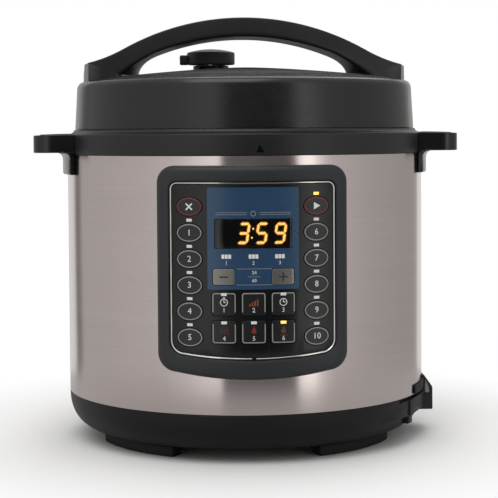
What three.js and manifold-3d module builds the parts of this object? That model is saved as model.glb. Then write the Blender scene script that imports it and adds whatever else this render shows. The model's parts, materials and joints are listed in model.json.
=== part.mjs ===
// Electric pressure cooker with a bayonet lid, an arched lid handle and a curved control panel.
// Units are millimetres, +Z is up, the panel faces -Y, and the origin is on the worktop at the
// centre of the footprint. Azimuths are in degrees from the front (-Y) towards the right (+X).
import * as THREE from "three";
import { mergeVertices } from "three/addons/utils/BufferGeometryUtils.js";
import Module from "manifold-3d";

const wasm = await Module();
wasm.setup();

// ---------------------------------------------------------------- driving dimensions
// Clearances and facets
const GAP = 0.3; // between two pieces that touch
const PANEL_GAP = 0.4; // between curved panel pieces
const RUN = 0.35; // around a piece that moves
const ROUND = 40; // facets of a full turn on the large rounds
const FINE_ROUND = 100; // facets of a full turn on the curved panel
const SMALL_ROUND = 14; // facets of a full turn on small pins and bores
const CORNER_STEPS = 3; // facets of a rounded corner
const SMALL_CORNER_STEPS = 1; // facets of a corner too small to need more
const KEY_STEPS = 6; // facets of a quarter of an oval key
const OVERRUN = 5; // how far a cutting tool runs past what it cuts
const OVERLAP = 1; // how far a joined shape runs into the one it is joined to
const LUG_STEPS = 4; // facets along a bayonet lug
const FOOT_STEPS = 8; // facets along a foot
const FLANGE_STEPS = 16; // facets along the flange of the power inlet
const SKIRT_STEPS = 10; // facets along the skirt of a side handle
const BOWL_STEPS = 6; // facets up the curve of the base
const POT_CORNER_STEPS = 3; // facets up the corner of the inner pot
const ARCH_STEPS = 10; // facets of each curve of the lid handle
const PIN_FACETS = 12; // facets of a full turn on the smallest round pieces

// Steel housing
const BODY_R = 138;
const STEEL_WALL = 0.8;
const STEEL_BOTTOM = 36.6;
const STEEL_HEIGHT = 182.4;

// Base and feet
const FOOT_HEIGHT = 8;
const FOOT_INNER_R = 104;
const FOOT_OUTER_R = 116;
const FOOT_SPAN = 41;
const FOOT_AZIMUTH = 48;
const FOOT_PEG_R = 3;
const FOOT_PEG_LENGTH = 6;
const FOOT_PEG_INSET = 3; // inwards from the middle of the foot
const BASE_WALL = 2.6;
const BASE_FLAT_R = 112;
const BASE_CURVE = 2.35;
const BASE_LIP_R = 94;
const SPIGOT_HEIGHT = 7.4;
const SPIGOT_WALL = 2.6;
const BOTTOM_PLATE_R = 101;
const BOTTOM_PLATE_WALL = 1.2;
const VENT_COUNT = 6;
const VENT_LENGTH = 34;
const VENT_WIDTH = 6;
const VENT_R = 58;

// Flat-faced boss and locating lug low on the right of the base
const BOSS_AZIMUTH = 67.4;
const BOSS_FACE_R = 138.2;
const BOSS_WIDTH = 27;
const BOSS_SHIFT = 10.3; // along the face, towards the back
const BOSS_DEPTH = 16;
const BOSS_BOTTOM = 22;
const BOSS_HEIGHT = 12.6;
const LUG_AZIMUTH = 60;
const LUG_R = 130;
const LUG_WIDTH = 9;
const LUG_DEPTH = 14;
const LUG_HEIGHT = 12;
const LUG_BOTTOM = 14.5;

// Collar and side handles
const COLLAR_R = 139;
const COLLAR_HEIGHT = 17.9;
const COLLAR_WALL = 8;
const COLLAR_FLOOR_Z = 210;
const COLLAR_FLOOR_WALL = 2.6;
const SPOUT_WIDTH = 18;
const SPOUT_REACH = 13; // beyond the side of the collar
const SPOUT_HEIGHT = 9;
const SPOUT_WALL = 2.2;
const HANDLE_REACH = 161.6;
const HANDLE_WIDTH = 100;
const HANDLE_HEIGHT = 14.5;
const HANDLE_DROP = 2; // handle top below the collar top
const HANDLE_CORNER = 15;
const HANDLE_WALL = 3.2;
const HANDLE_HOLLOW = 11;
const SKIRT_REACH = 141.8;
const SKIRT_WIDTH = 98;
const SKIRT_HEIGHT = 16.7;

// Outer pot, inner pot and what heats and senses them
const OUTER_POT_R = 113.5;
const OUTER_POT_WALL = 2;
const OUTER_POT_FLOOR_Z = 50;
const FLANGE_Z = 226;
const FLANGE_WALL = 3;
const FLANGE_R = 121.5;
const LUG_RING_R = 125.5;
const BAYONET_COUNT = 6;
const BAYONET_SPAN = 24;
const INNER_POT_R = 110;
const INNER_POT_WALL = 1.2;
const INNER_POT_FLOOR_Z = 73;
const INNER_POT_CORNER = 12;
const INNER_POT_RIM_R = 119;
const INNER_POT_RIM_WALL = 1.8;
const HEATER_R = 92;
const HEATER_HEIGHT = 16;
const HEATER_LEG_R = 5;
const HEATER_LEG_RING_R = 70;
const HEATER_LEG_COUNT = 4;
const SENSOR_R = 15;
const SENSOR_CAP_HEIGHT = 5;
const SENSOR_STEM_R = 4;
const SENSOR_STEM_LENGTH = 27;
const SPRING_R = 8;
const SPRING_WIRE_R = 0.8;
const SPRING_TURNS = 4;
const SPRING_STEPS = 9;
const SPRING_SIDES = 3; // half the sides of the wire
const SWITCH_LENGTH = 30;
const SWITCH_WIDTH = 12;
const SWITCH_HEIGHT = 11;
const SWITCH_R = 48;
const SWITCH_TAB = 12;
const SWITCH_TAB_WALL = 1.6;
const FUSE_R = 3;
const FUSE_LENGTH = 22;
const FUSE_Z = 72;
const BOARD_WALL = 1.6;
const POWER_BOARD_LENGTH = 100;
const POWER_BOARD_WIDTH = 64;
const POWER_BOARD_Y = 30;
const POWER_BOARD_LIFT = 6;
const POWER_POST_R = 3;
const SINK_X = -30;
const SINK_Y = 4;
const SINK_LENGTH = 26;
const SINK_WIDTH = 22;
const SINK_HEIGHT = 18;
const CAPACITOR_X = 6;
const CAPACITOR_PITCH = 24;
const CAPACITOR_LENGTH = 19;
const CAPACITOR_WIDTH = 15;
const CAPACITOR_HEIGHT = 15;
const RELAY_X = 34;
const RELAY_LENGTH = 14;
const RELAY_WIDTH = 30;
const RELAY_HEIGHT = 12;

// Power inlet
const INLET_REACH = 145;
const INLET_WIDTH = 48;
const INLET_BOTTOM = 18.5;
const INLET_FACE_HEIGHT = 17.5;
const INLET_ROOF_RISE = 9.6;
const INLET_INNER_X = 128;
const INLET_FLANGE_WALL = 2.2;
const INLET_FLANGE_SPAN = 48;
const INLET_FLANGE_HEIGHT = 7;
const SOCKET_WIDTH = 26.8;
const SOCKET_HEIGHT = 15;
const SOCKET_WALL = 1;
const SOCKET_DEPTH = 26;
const SOCKET_RECESS = 18;
const SOCKET_CORNER = 3;
const PIN_WIDTH = 2;
const PIN_HEIGHT = 4;
const PIN_LENGTH = 12;
const PIN_PITCH = 7;
const PIN_OFFSET = 1.6;

// Condensation collector at the back
const CUP_WIDTH = 62;
const CUP_HEIGHT = 46;
const CUP_REACH = 168;
const CUP_TOP = 206;
const CUP_WALL = 1.8;
const CUP_CORNER = 6;
const CUP_BACK_CLEARANCE = 3.4;
const BRACKET_WALL = 2;
const BRACKET_REACH = 158;
const BRACKET_HEIGHT = 20;

// Control panel
const BEZEL_HALF_WIDTH = 66.7;
const BEZEL_BOTTOM = 63.2;
const BEZEL_HEIGHT = 149;
const BEZEL_CORNER = 13;
const BEZEL_SAG = 4.5;
const BEZEL_FACE_R = 144.8;
const BEZEL_LIP = 1.6;
const BEZEL_SKIRT_R = 133.6;
const BEZEL_SKIRT_WALL = 1.6;
const PANEL_HALF_WIDTH = 56.6;
const PANEL_BOTTOM = 78.4;
const PANEL_HEIGHT = 120.8;
const PANEL_CORNER = 8;
const PANEL_SAG = 3.2;
const PANEL_FACE_R = 142.5;
const PANEL_WALL = 2;
const TRIM_WIDTH = 1.4;
const TRIM_PROUD = 0.5;
const TRIM_WALL = 1.6;
const TRIM_SLOT = 3;
const STEEL_WINDOW_MARGIN = 3;
const WINDOW_WIDTH = 53.8;
const WINDOW_HEIGHT = 20.2;
const WINDOW_Z = 164.8;
const WINDOW_CORNER = 1.2;
const WINDOW_WALL = 1.4;
const DISPLAY_WIDTH = 50;
const DISPLAY_HEIGHT = 19;
const DISPLAY_FACE_Y = 137.4;
const CONTROL_BOARD_Y = 124.4;
const CONTROL_BOARD_WIDTH = 94;
const CONTROL_BOARD_MARGIN = 6;

// Keys
const KEY_PROUD = 0.4;
const KEY_TRAVEL = 0.8;
const KEY_WALL = 3.4;
const KEY_FLANGE = 1;
const KEY_FLANGE_WALL = 1.2;
const KEY_SWITCH_SIZE = 6;
const KEY_SWITCH_CLEARANCE = 0.5;
const OVAL_AZIMUTH = 18.2;
const OVAL_WIDTH = 18.9;
const OVAL_HEIGHT = 13.2;
const OVAL_TOP_Z = 183.7;
const OVAL_PITCH = 18.33;
const OVAL_ROWS = 6;
const GRID_AZIMUTH = 8.35;
const GRID_WIDTH = 17.2;
const GRID_KEY_HEIGHT = 16.2;
const GRID_TOP_Z = 115.8;
const GRID_PITCH = 19.8;
const GRID_ROWS = 2;
const GRID_COLUMNS = 3;
const GRID_CORNER = 2.4;
const STEP_KEY_WIDTH = 15.5;
const STEP_KEY_HEIGHT = 11.2;
const STEP_KEY_Z = 134.6;
const STEP_KEY_CORNER = 1.6;

// Lid
const LID_SEAM = 0.8;
const LID_R = 132.5;
const LID_DRAFT = 1.9;
const LID_SIDE_HEIGHT = 30.4;
const LID_SHOULDER_R = 126;
const LID_SHOULDER_RISE = 6;
const LID_CROWN_R = 108;
const LID_CROWN_RISE = 3.3;
const LID_DOME_RISE = 8.9;
const LID_DOME_CURVE = 1.5;
const LID_DOME_STEPS = 4;
const LID_WALL = 2.6;
const PLATE_RIM_R = 128.5;
const PLATE_RIM_WALL = 2.2;
const PLATE_Z = 240;
const PLATE_WALL = 2.5;
const PLATE_FLAT_R = 106;
const PLATE_DOME_RISE = 12;
const PLATE_DOME_STEPS = 3;
const BAYONET_PLAY = 0.5;
const BAYONET_WALL = 4;
const SEAL_INNER_R = 112;
const SEAL_OUTER_R = 124.8;
const SEAL_LIP = 3;
const RACK_WALL = 3.8;
const RACK_HEIGHT = 5.6;
const SCREW_R = 3.2;
const SCREW_HEAD_R = 9;
const SCREW_HEAD_HEIGHT = 4;
const SCREW_ENGAGEMENT = 16;
const SCREW_BOSS_R = 8;

// Steam release valve, float valve and the cap below the vent
const VALVE_X = -25;
const VALVE_Y = 45;
const KNOB_R = 19.4;
const KNOB_BOTTOM = 290.3;
const KNOB_SIDE_HEIGHT = 9.7;
const KNOB_DOME = 2.9;
const KNOB_DOME_MIDDLE = 2.3; // rise of the dome half way out
const KNOB_EDGE = 1;
const KNOB_TAB_REACH = 25.3;
const KNOB_TAB_WIDTH = 14;
const KNOB_TAB_HEIGHT = 7.6;
const KNOB_SOCKET_DEPTH = 7;
const VENT_R_OUT = 4.5;
const VENT_BORE_R = 1.6;
const VENT_COLLAR_R = 9;
const VENT_COLLAR_HEIGHT = 3;
const GUARD_R = 14.5;
const GUARD_HOLE_R = 10.5;
const GUARD_CLEARANCE = 1;
const PAD_Z = 247;
const PAD_R = 13;
const CAP_R = 11;
const CAP_WALL = 1;
const CAP_HEIGHT = 10;
const CAP_SLOTS = 6;
const CAP_SLOT_WIDTH = 3;
const FLOAT_X = 12;
const FLOAT_Y = 48;
const FLOAT_HEAD_R = 4.4;
const FLOAT_HEAD_HEIGHT = 8;
const FLOAT_RECESS = 3;
const FLOAT_STEM_R = 2.4;
const FLOAT_FOOT_R = 3.8;
const FLOAT_FOOT_HEIGHT = 3;
const FLOAT_TRAVEL = 5;
const GASKET_R = 6.5;
const GASKET_WALL = 2;

// Lid handle
const ARCH_TOP_Z = 323.4;
const ARCH_R = 184.7;
const ARCH_THICKNESS = 13.4;
const ARCH_INNER_R = 188.7;
const ARCH_HALF_REACH = 125.6;
const ARCH_SHOULDER_X = 80;
const ARCH_EASE = 24; // from the shoulder to where the curve of the end is drawn to
const ARCH_END_Z = 286;
const ARCH_GAP_HALF = 84;
const ARCH_GAP_CORNER = 15;
const ARCH_MID_DEPTH = 52;
const ARCH_END_DEPTH = 80;
const ARCH_PLAN_R = 126.2;

// ---------------------------------------------------------------- derived places
const STEEL_TOP = STEEL_BOTTOM + STEEL_HEIGHT;
const BASE_TOP = STEEL_BOTTOM - GAP;
const SPIGOT_R = BODY_R - STEEL_WALL - GAP;
const COLLAR_BOTTOM = STEEL_TOP + GAP;
const COLLAR_TOP = COLLAR_BOTTOM + COLLAR_HEIGHT;
const COLLAR_INNER_R = COLLAR_R - COLLAR_WALL;
const POT_OUTSIDE_R = OUTER_POT_R + OUTER_POT_WALL;
const FLANGE_TOP = FLANGE_Z + FLANGE_WALL;
const INNER_POT_TOP = FLANGE_TOP + GAP + INNER_POT_RIM_WALL;
const HEATER_TOP = INNER_POT_FLOOR_Z - GAP;
const POT_FLOOR_TOP = OUTER_POT_FLOOR_Z + OUTER_POT_WALL;
const LID_BOTTOM = COLLAR_TOP + LID_SEAM;
const LID_SIDE_TOP = LID_BOTTOM + LID_SIDE_HEIGHT;
const LID_SHOULDER_Z = LID_SIDE_TOP + LID_SHOULDER_RISE;
const LID_CROWN_Z = LID_SHOULDER_Z + LID_CROWN_RISE;
const BAYONET_TOP = FLANGE_Z - BAYONET_PLAY;
const BAYONET_INNER_R = FLANGE_R + RUN;
const PANEL_BACK_R = PANEL_FACE_R - PANEL_WALL;
const INLET_FACE_TOP = INLET_BOTTOM + INLET_FACE_HEIGHT;
const SOCKET_Z = INLET_BOTTOM + INLET_FACE_HEIGHT / 2;
const PLATE_PAD_TOP = PAD_Z + PLATE_WALL;
const CUP_BACK = BODY_R + CUP_BACK_CLEARANCE;
const FRONT_REACH = BEZEL_FACE_R;
const REAR_REACH = CUP_REACH;
const AXIS_Y = (FRONT_REACH - REAR_REACH) / 2;

const SPOUT_END = COLLAR_R + SPOUT_REACH;
const RIGHT = 90; // azimuth of the right side

/** The heat sink, the two capacitors and the relay on the power board. */
const POWER_PARTS = [
  { x: SINK_X, y: SINK_Y, length: SINK_LENGTH, width: SINK_WIDTH, height: SINK_HEIGHT },
  ...[-1, 1].map((side) => ({
    x: CAPACITOR_X,
    y: (side * CAPACITOR_PITCH) / 2,
    length: CAPACITOR_LENGTH,
    width: CAPACITOR_WIDTH,
    height: CAPACITOR_HEIGHT,
  })),
  { x: RELAY_X, y: 0, length: RELAY_LENGTH, width: RELAY_WIDTH, height: RELAY_HEIGHT },
];

// ---------------------------------------------------------------- finishes
const finish = (color, roughness, metalness) =>
  new THREE.MeshStandardMaterial({ color, roughness, metalness });

const FINISHES = {
  blackPlastic: finish(0x1b1b1d, 0.45, 0),
  satinBlack: finish(0x2a2a2c, 0.35, 0),
  steel: finish(0xa9a19c, 0.32, 1),
  polishedSteel: finish(0xc4c4c6, 0.2, 1),
  aluminium: finish(0xb4b4b2, 0.45, 1),
  castAluminium: finish(0x8f9092, 0.6, 1),
  rubber: finish(0x141414, 0.9, 0),
  silicone: finish(0xd9d9d4, 0.7, 0),
  panelFilm: finish(0x1c1d20, 0.4, 0),
  window: finish(0x07080a, 0.1, 0),
  keySilver: finish(0xbfbcb4, 0.4, 0.4),
  keyBlack: finish(0x202124, 0.5, 0),
  board: finish(0x1f5a35, 0.6, 0),
};

// ---------------------------------------------------------------- geometry helpers
const radians = THREE.MathUtils.degToRad;
const WELD = 1e-4;

/** A closed three.js geometry as a manifold solid. */
function solidFrom(geometry) {
  const bare = geometry.index ? geometry.toNonIndexed() : geometry.clone();
  bare.deleteAttribute("normal");
  bare.deleteAttribute("uv");
  const merged = mergeVertices(bare, WELD);
  const index = merged.index.array;
  const kept = [];
  for (let i = 0; i < index.length; i += 3) {
    const [a, b, c] = [index[i], index[i + 1], index[i + 2]];
    if (a !== b && b !== c && c !== a) kept.push(a, b, c);
  }
  return new wasm.Manifold(
    new wasm.Mesh({
      numProp: 3,
      vertProperties: merged.attributes.position.array,
      triVerts: new Uint32Array(kept),
    }),
  );
}

/** A manifold solid as a named three.js mesh. */
function meshOf(name, solid, material) {
  const { vertProperties, triVerts } = solid.getMesh();
  const geometry = new THREE.BufferGeometry();
  geometry.setAttribute("position", new THREE.BufferAttribute(vertProperties, 3));
  geometry.setIndex(new THREE.BufferAttribute(triVerts, 1));
  const mesh = new THREE.Mesh(geometry, material);
  mesh.name = name;
  return mesh;
}

/** A solid of revolution about Z from [radius, z] points, given in either sense. */
function turned(profile, facets = ROUND) {
  const area = profile.reduce((sum, [r, z], i) => {
    const [nextR, nextZ] = profile[(i + 1) % profile.length];
    return sum + r * nextZ - nextR * z;
  }, 0);
  const ordered = area < 0 ? [...profile].reverse() : [...profile];
  const onAxis = ordered.some(([r]) => r === 0);
  if (onAxis) {
    while (ordered[0][0] !== 0 || ordered[ordered.length - 1][0] !== 0) {
      ordered.push(ordered.shift());
    }
  } else {
    ordered.push(ordered[0]);
  }
  const points = ordered.map(([r, z]) => new THREE.Vector2(r, z));
  return solidFrom(new THREE.LatheGeometry(points, facets).rotateX(Math.PI / 2));
}

/** A ring of rectangular section. */
const ring = (inner, outer, low, high, facets = ROUND) =>
  turned([[inner, low], [outer, low], [outer, high], [inner, high]], facets);

/** A vertical round bar. */
const bar = (radius, low, high, facets = SMALL_ROUND) =>
  turned([[0, low], [radius, low], [radius, high], [0, high]], facets);

/** A box from its low corner to its high corner. */
function box(low, high) {
  const size = high.map((value, i) => value - low[i]);
  const middle = high.map((value, i) => (value + low[i]) / 2);
  return solidFrom(new THREE.BoxGeometry(...size).translate(...middle));
}

/** A flat outline stood up along Z. */
function prism(outline, low, high, steps = CORNER_STEPS) {
  const options = { depth: high - low, bevelEnabled: false, curveSegments: steps };
  return solidFrom(new THREE.ExtrudeGeometry(outline, options).translate(0, 0, low));
}

/** An outline drawn as x across and y up, pushed out to the front between two distances. */
function frontPrism(outline, near, far, steps = CORNER_STEPS) {
  const options = { depth: far - near, bevelEnabled: false, curveSegments: steps };
  const geometry = new THREE.ExtrudeGeometry(outline, options);
  return solidFrom(geometry.translate(0, 0, near).rotateX(Math.PI / 2));
}

/** An outline on the front of the body, curved round the axis between two radii. */
function wrapped(outline, inner, outer) {
  const block = frontPrism(outline, inner / 2, outer + OVERRUN);
  return block.intersect(ring(inner, outer, 0, ARCH_TOP_Z, FINE_ROUND));
}

/** A rectangle with round corners, centred on (x, y). */
function roundedRectangle(width, height, corner, x = 0, y = 0) {
  const outline = new THREE.Shape();
  const [right, top] = [width / 2 - corner, height / 2 - corner];
  outline.absarc(x + right, y - top, corner, -Math.PI / 2, 0, false);
  outline.absarc(x + right, y + top, corner, 0, Math.PI / 2, false);
  outline.absarc(x - right, y + top, corner, Math.PI / 2, Math.PI, false);
  outline.absarc(x - right, y - top, corner, Math.PI, 1.5 * Math.PI, false);
  return outline;
}

/** A sector of a ring, from one azimuth to another. */
function sector(inner, outer, from, to, low, high, steps = CORNER_STEPS) {
  const [start, end] = [radians(from - 90), radians(to - 90)];
  const outline = new THREE.Shape();
  outline.absarc(0, 0, outer, start, end, false);
  outline.absarc(0, 0, inner, end, start, true);
  return prism(outline, low, high, steps);
}

/** A solid turned about Z by an azimuth in degrees. */
const aimed = (solid, azimuth) => solid.rotate([0, 0, azimuth]);

/** The solids of a list joined into one. */
const joined = (solids) => solids.reduce((sum, solid) => sum.add(solid));

/** The first solid less all the others. */
const cut = (solid, tools) => tools.reduce((rest, tool) => rest.subtract(tool), solid);

/** Whole numbers from 0 up to a count. */
const upTo = (count) => Array.from({ length: count }, (_, i) => i);

// ---------------------------------------------------------------- base
/** Outside of the base bowl: a flat bottom that curves up into the steel wall. */
function bowlCurve(inset, steps = BOWL_STEPS) {
  const rise = BASE_TOP - FOOT_HEIGHT - inset;
  const spread = BODY_R - BASE_FLAT_R - inset;
  return upTo(steps + 1).map((i) => {
    const turn = (i / steps) * (Math.PI / 2);
    const power = 2 / BASE_CURVE;
    return [
      BASE_FLAT_R + spread * Math.sin(turn) ** power,
      BASE_TOP - rise * Math.cos(turn) ** power,
    ];
  });
}

/** The four azimuths of the feet. */
const footAzimuths = [-1, 1].flatMap((side) => [
  side * FOOT_AZIMUTH,
  side * (180 - FOOT_AZIMUTH),
]);

const footPegR = (FOOT_INNER_R + FOOT_OUTER_R) / 2 - FOOT_PEG_INSET;

function baseShell() {
  const inside = bowlCurve(BASE_WALL).reverse();
  const shell = turned([
    [BASE_LIP_R, FOOT_HEIGHT],
    ...bowlCurve(0),
    [SPIGOT_R, BASE_TOP],
    [SPIGOT_R, BASE_TOP + SPIGOT_HEIGHT],
    [SPIGOT_R - SPIGOT_WALL, BASE_TOP + SPIGOT_HEIGHT],
    ...inside,
    [BASE_LIP_R, FOOT_HEIGHT + BASE_WALL],
  ]);
  const boss = box(
    [BOSS_SHIFT - BOSS_WIDTH / 2, -BOSS_FACE_R, BOSS_BOTTOM],
    [BOSS_SHIFT + BOSS_WIDTH / 2, -BOSS_FACE_R + BOSS_DEPTH, BOSS_BOTTOM + BOSS_HEIGHT],
  );
  const lug = box(
    [-LUG_WIDTH / 2, -LUG_R, LUG_BOTTOM],
    [LUG_WIDTH / 2, -LUG_R + LUG_DEPTH, LUG_BOTTOM + LUG_HEIGHT],
  );
  const pegHoles = footAzimuths.map((azimuth) =>
    aimed(
      bar(FOOT_PEG_R + GAP, 0, FOOT_HEIGHT + FOOT_PEG_LENGTH).translate([0, -footPegR, 0]),
      azimuth,
    ),
  );
  const inletNotch = box(
    [INLET_INNER_X - OVERRUN, -INLET_WIDTH / 2 - GAP, INLET_BOTTOM - GAP],
    [BODY_R + OVERRUN, INLET_WIDTH / 2 + GAP, BASE_TOP + SPIGOT_HEIGHT + OVERRUN],
  );
  const solids = [shell, aimed(boss, BOSS_AZIMUTH), aimed(lug, LUG_AZIMUTH)];
  return cut(joined(solids), [...pegHoles, inletNotch]);
}

function bottomPlate() {
  const low = FOOT_HEIGHT + BASE_WALL + GAP;
  const plate = bar(BOTTOM_PLATE_R, low, low + BOTTOM_PLATE_WALL, ROUND);
  const slot = prism(
    roundedRectangle(VENT_WIDTH, VENT_LENGTH, VENT_WIDTH / 2, 0, -VENT_R),
    low - OVERRUN,
    low + OVERRUN,
    SMALL_CORNER_STEPS,
  );
  return cut(
    plate,
    upTo(VENT_COUNT).map((i) => aimed(slot, ((i + 0.5) * 360) / VENT_COUNT)),
  );
}

function foot(azimuth) {
  const half = FOOT_SPAN / 2;
  const pad = sector(FOOT_INNER_R, FOOT_OUTER_R, -half, half, 0, FOOT_HEIGHT - GAP, FOOT_STEPS);
  const peg = bar(FOOT_PEG_R, OVERLAP, FOOT_HEIGHT + FOOT_PEG_LENGTH - GAP);
  return aimed(pad.add(peg.translate([0, -footPegR, 0])), azimuth);
}

// ---------------------------------------------------------------- control panel outlines
/** A panel outline whose bottom edge sags in the middle, grown outwards by an offset. */
function panelOutline(size, offset = 0) {
  const corner = size.corner + offset;
  const [left, right] = [-size.halfWidth - offset, size.halfWidth + offset];
  const top = size.bottom + size.height + offset;
  const side = size.bottom + size.sag - offset;
  const outline = new THREE.Shape();
  outline.moveTo(left + corner, side);
  outline.quadraticCurveTo(0, side - 2 * size.sag, right - corner, side);
  outline.absarc(right - corner, side + corner, corner, -Math.PI / 2, 0, false);
  outline.absarc(right - corner, top - corner, corner, 0, Math.PI / 2, false);
  outline.absarc(left + corner, top - corner, corner, Math.PI / 2, Math.PI, false);
  outline.absarc(left + corner, side + corner, corner, Math.PI, 1.5 * Math.PI, false);
  return outline;
}

const BEZEL_SIZE = {
  halfWidth: BEZEL_HALF_WIDTH,
  bottom: BEZEL_BOTTOM,
  height: BEZEL_HEIGHT,
  corner: BEZEL_CORNER,
  sag: BEZEL_SAG,
};
const PANEL_SIZE = {
  halfWidth: PANEL_HALF_WIDTH,
  bottom: PANEL_BOTTOM,
  height: PANEL_HEIGHT,
  corner: PANEL_CORNER,
  sag: PANEL_SAG,
};
const TRIM_INSIDE = GAP;
const TRIM_OUTSIDE = TRIM_INSIDE + TRIM_WIDTH;
const REBATE = TRIM_OUTSIDE + GAP;

function steelHousing() {
  const shell = ring(BODY_R - STEEL_WALL, BODY_R, STEEL_BOTTOM, STEEL_TOP);
  const window = panelOutline(PANEL_SIZE, STEEL_WINDOW_MARGIN);
  return shell.subtract(frontPrism(window, BODY_R / 2, BODY_R + OVERRUN));
}

function controlBezel() {
  const frame = wrapped(panelOutline(BEZEL_SIZE), BODY_R + PANEL_GAP, BEZEL_FACE_R);
  const skirt = wrapped(
    panelOutline(PANEL_SIZE, BEZEL_SKIRT_WALL - BEZEL_LIP),
    BEZEL_SKIRT_R,
    BODY_R + PANEL_GAP + BEZEL_LIP,
  );
  const opening = frontPrism(
    panelOutline(PANEL_SIZE, -BEZEL_LIP),
    BEZEL_SKIRT_R / 2,
    BEZEL_FACE_R + OVERRUN,
  );
  const rebate = wrapped(
    panelOutline(PANEL_SIZE, REBATE),
    PANEL_BACK_R - GAP,
    BEZEL_FACE_R + OVERRUN,
  );
  return cut(joined([frame, skirt]), [opening, rebate]);
}

function panelTrim() {
  const face = PANEL_FACE_R + TRIM_PROUD;
  const strip = wrapped(panelOutline(PANEL_SIZE, TRIM_OUTSIDE), face - TRIM_WALL, face);
  const opening = frontPrism(
    panelOutline(PANEL_SIZE, TRIM_INSIDE),
    PANEL_FACE_R / 2,
    PANEL_FACE_R + OVERRUN,
  );
  const slot = box(
    [-TRIM_SLOT / 2, -PANEL_FACE_R - OVERRUN, PANEL_BOTTOM - OVERRUN],
    [TRIM_SLOT / 2, -PANEL_FACE_R / 2, PANEL_BOTTOM + OVERRUN],
  );
  return cut(strip, [opening, slot]);
}

// ---------------------------------------------------------------- keys
const ellipse = (width, height, z) => {
  const outline = new THREE.Shape();
  outline.absellipse(0, z, width / 2, height / 2, 0, 2 * Math.PI, false, 0);
  return outline;
};

const ovalKey = { outline: (grow, z) => ellipse(OVAL_WIDTH + 2 * grow, OVAL_HEIGHT + 2 * grow, z) };
const gridKey = {
  outline: (grow, z) =>
    roundedRectangle(
      GRID_WIDTH + 2 * grow,
      GRID_KEY_HEIGHT + 2 * grow,
      GRID_CORNER + grow,
      0,
      z,
    ),
};
const stepKey = {
  outline: (grow, z) =>
    roundedRectangle(
      STEP_KEY_WIDTH + 2 * grow,
      STEP_KEY_HEIGHT + 2 * grow,
      STEP_KEY_CORNER + grow,
      0,
      z,
    ),
};

/** Every key with its name, shape, azimuth and height. */
const KEYS = [
  ...["left", "right"].flatMap((side) =>
    upTo(OVAL_ROWS).map((row) => ({
      name: `key_${side}_${row + 1}`,
      kind: ovalKey,
      azimuth: side === "left" ? -OVAL_AZIMUTH : OVAL_AZIMUTH,
      z: OVAL_TOP_Z - row * OVAL_PITCH,
      material: FINISHES.keyBlack,
    })),
  ),
  ...upTo(GRID_ROWS).flatMap((row) =>
    upTo(GRID_COLUMNS).map((column) => ({
      name: `key_program_${row * GRID_COLUMNS + column + 1}`,
      kind: gridKey,
      azimuth: (column - (GRID_COLUMNS - 1) / 2) * GRID_AZIMUTH,
      z: GRID_TOP_Z - row * GRID_PITCH,
      material: FINISHES.keyBlack,
    })),
  ),
  ...["minus", "plus"].map((name, i) => ({
    name: `key_${name}`,
    kind: stepKey,
    azimuth: (2 * i - 1) * GRID_AZIMUTH,
    z: STEP_KEY_Z,
    material: FINISHES.keySilver,
  })),
];

const KEY_FACE_R = PANEL_FACE_R + KEY_PROUD;
const KEY_BACK_R = KEY_FACE_R - KEY_WALL - KEY_FLANGE_WALL;

/** The outline of a key at its place, pushed out between two radii and grown by an amount. */
function keyPrism({ kind, azimuth, z }, grow, near, far) {
  const steps = kind === ovalKey ? KEY_STEPS : SMALL_CORNER_STEPS;
  return aimed(frontPrism(kind.outline(grow, z), near, far, steps), azimuth);
}

function keyCap(key) {
  const flangeTop = KEY_BACK_R + KEY_FLANGE_WALL;
  const cap = keyPrism(key, 0, KEY_BACK_R, KEY_FACE_R);
  return cap.add(keyPrism(key, KEY_FLANGE, KEY_BACK_R, flangeTop));
}

function faceplate() {
  const plate = wrapped(panelOutline(PANEL_SIZE), PANEL_BACK_R, PANEL_FACE_R);
  const keyHoles = KEYS.map((key) => keyPrism(key, RUN, PANEL_BACK_R - OVERRUN, KEY_FACE_R));
  return cut(plate, [...keyHoles, windowPrism(GAP)]);
}

function windowPrism(grow) {
  const outline = roundedRectangle(
    WINDOW_WIDTH + 2 * grow,
    WINDOW_HEIGHT + 2 * grow,
    WINDOW_CORNER,
    0,
    WINDOW_Z,
  );
  return frontPrism(outline, PANEL_BACK_R / 2, PANEL_FACE_R + OVERRUN);
}

function displayWindow() {
  const skin = ring(PANEL_FACE_R - WINDOW_WALL, PANEL_FACE_R, 0, ARCH_TOP_Z, FINE_ROUND);
  return windowPrism(0).intersect(skin);
}

function displayModule() {
  return box(
    [-DISPLAY_WIDTH / 2, -DISPLAY_FACE_Y, WINDOW_Z - DISPLAY_HEIGHT / 2],
    [DISPLAY_WIDTH / 2, -CONTROL_BOARD_Y - GAP, WINDOW_Z + DISPLAY_HEIGHT / 2],
  );
}

/** Circuit board behind the panel with one push switch behind each key. */
function controlBoard() {
  const board = box(
    [-CONTROL_BOARD_WIDTH / 2, -CONTROL_BOARD_Y, PANEL_BOTTOM + CONTROL_BOARD_MARGIN],
    [
      CONTROL_BOARD_WIDTH / 2,
      BOARD_WALL - CONTROL_BOARD_Y,
      PANEL_BOTTOM + PANEL_HEIGHT - CONTROL_BOARD_MARGIN,
    ],
  );
  const half = KEY_SWITCH_SIZE / 2;
  const tipR = KEY_BACK_R - KEY_TRAVEL - KEY_SWITCH_CLEARANCE;
  const switches = KEYS.map(({ azimuth, z }) => {
    const x = Math.min(tipR * Math.sin(radians(Math.abs(azimuth))), CONTROL_BOARD_WIDTH / 2 - half);
    const reach = Math.sqrt(tipR ** 2 - (x + half) ** 2);
    const middle = Math.sign(azimuth) * x;
    return box(
      [middle - half, -reach, z - half],
      [middle + half, BOARD_WALL / 2 - CONTROL_BOARD_Y, z + half],
    );
  });
  return joined([board, ...switches]);
}

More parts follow.
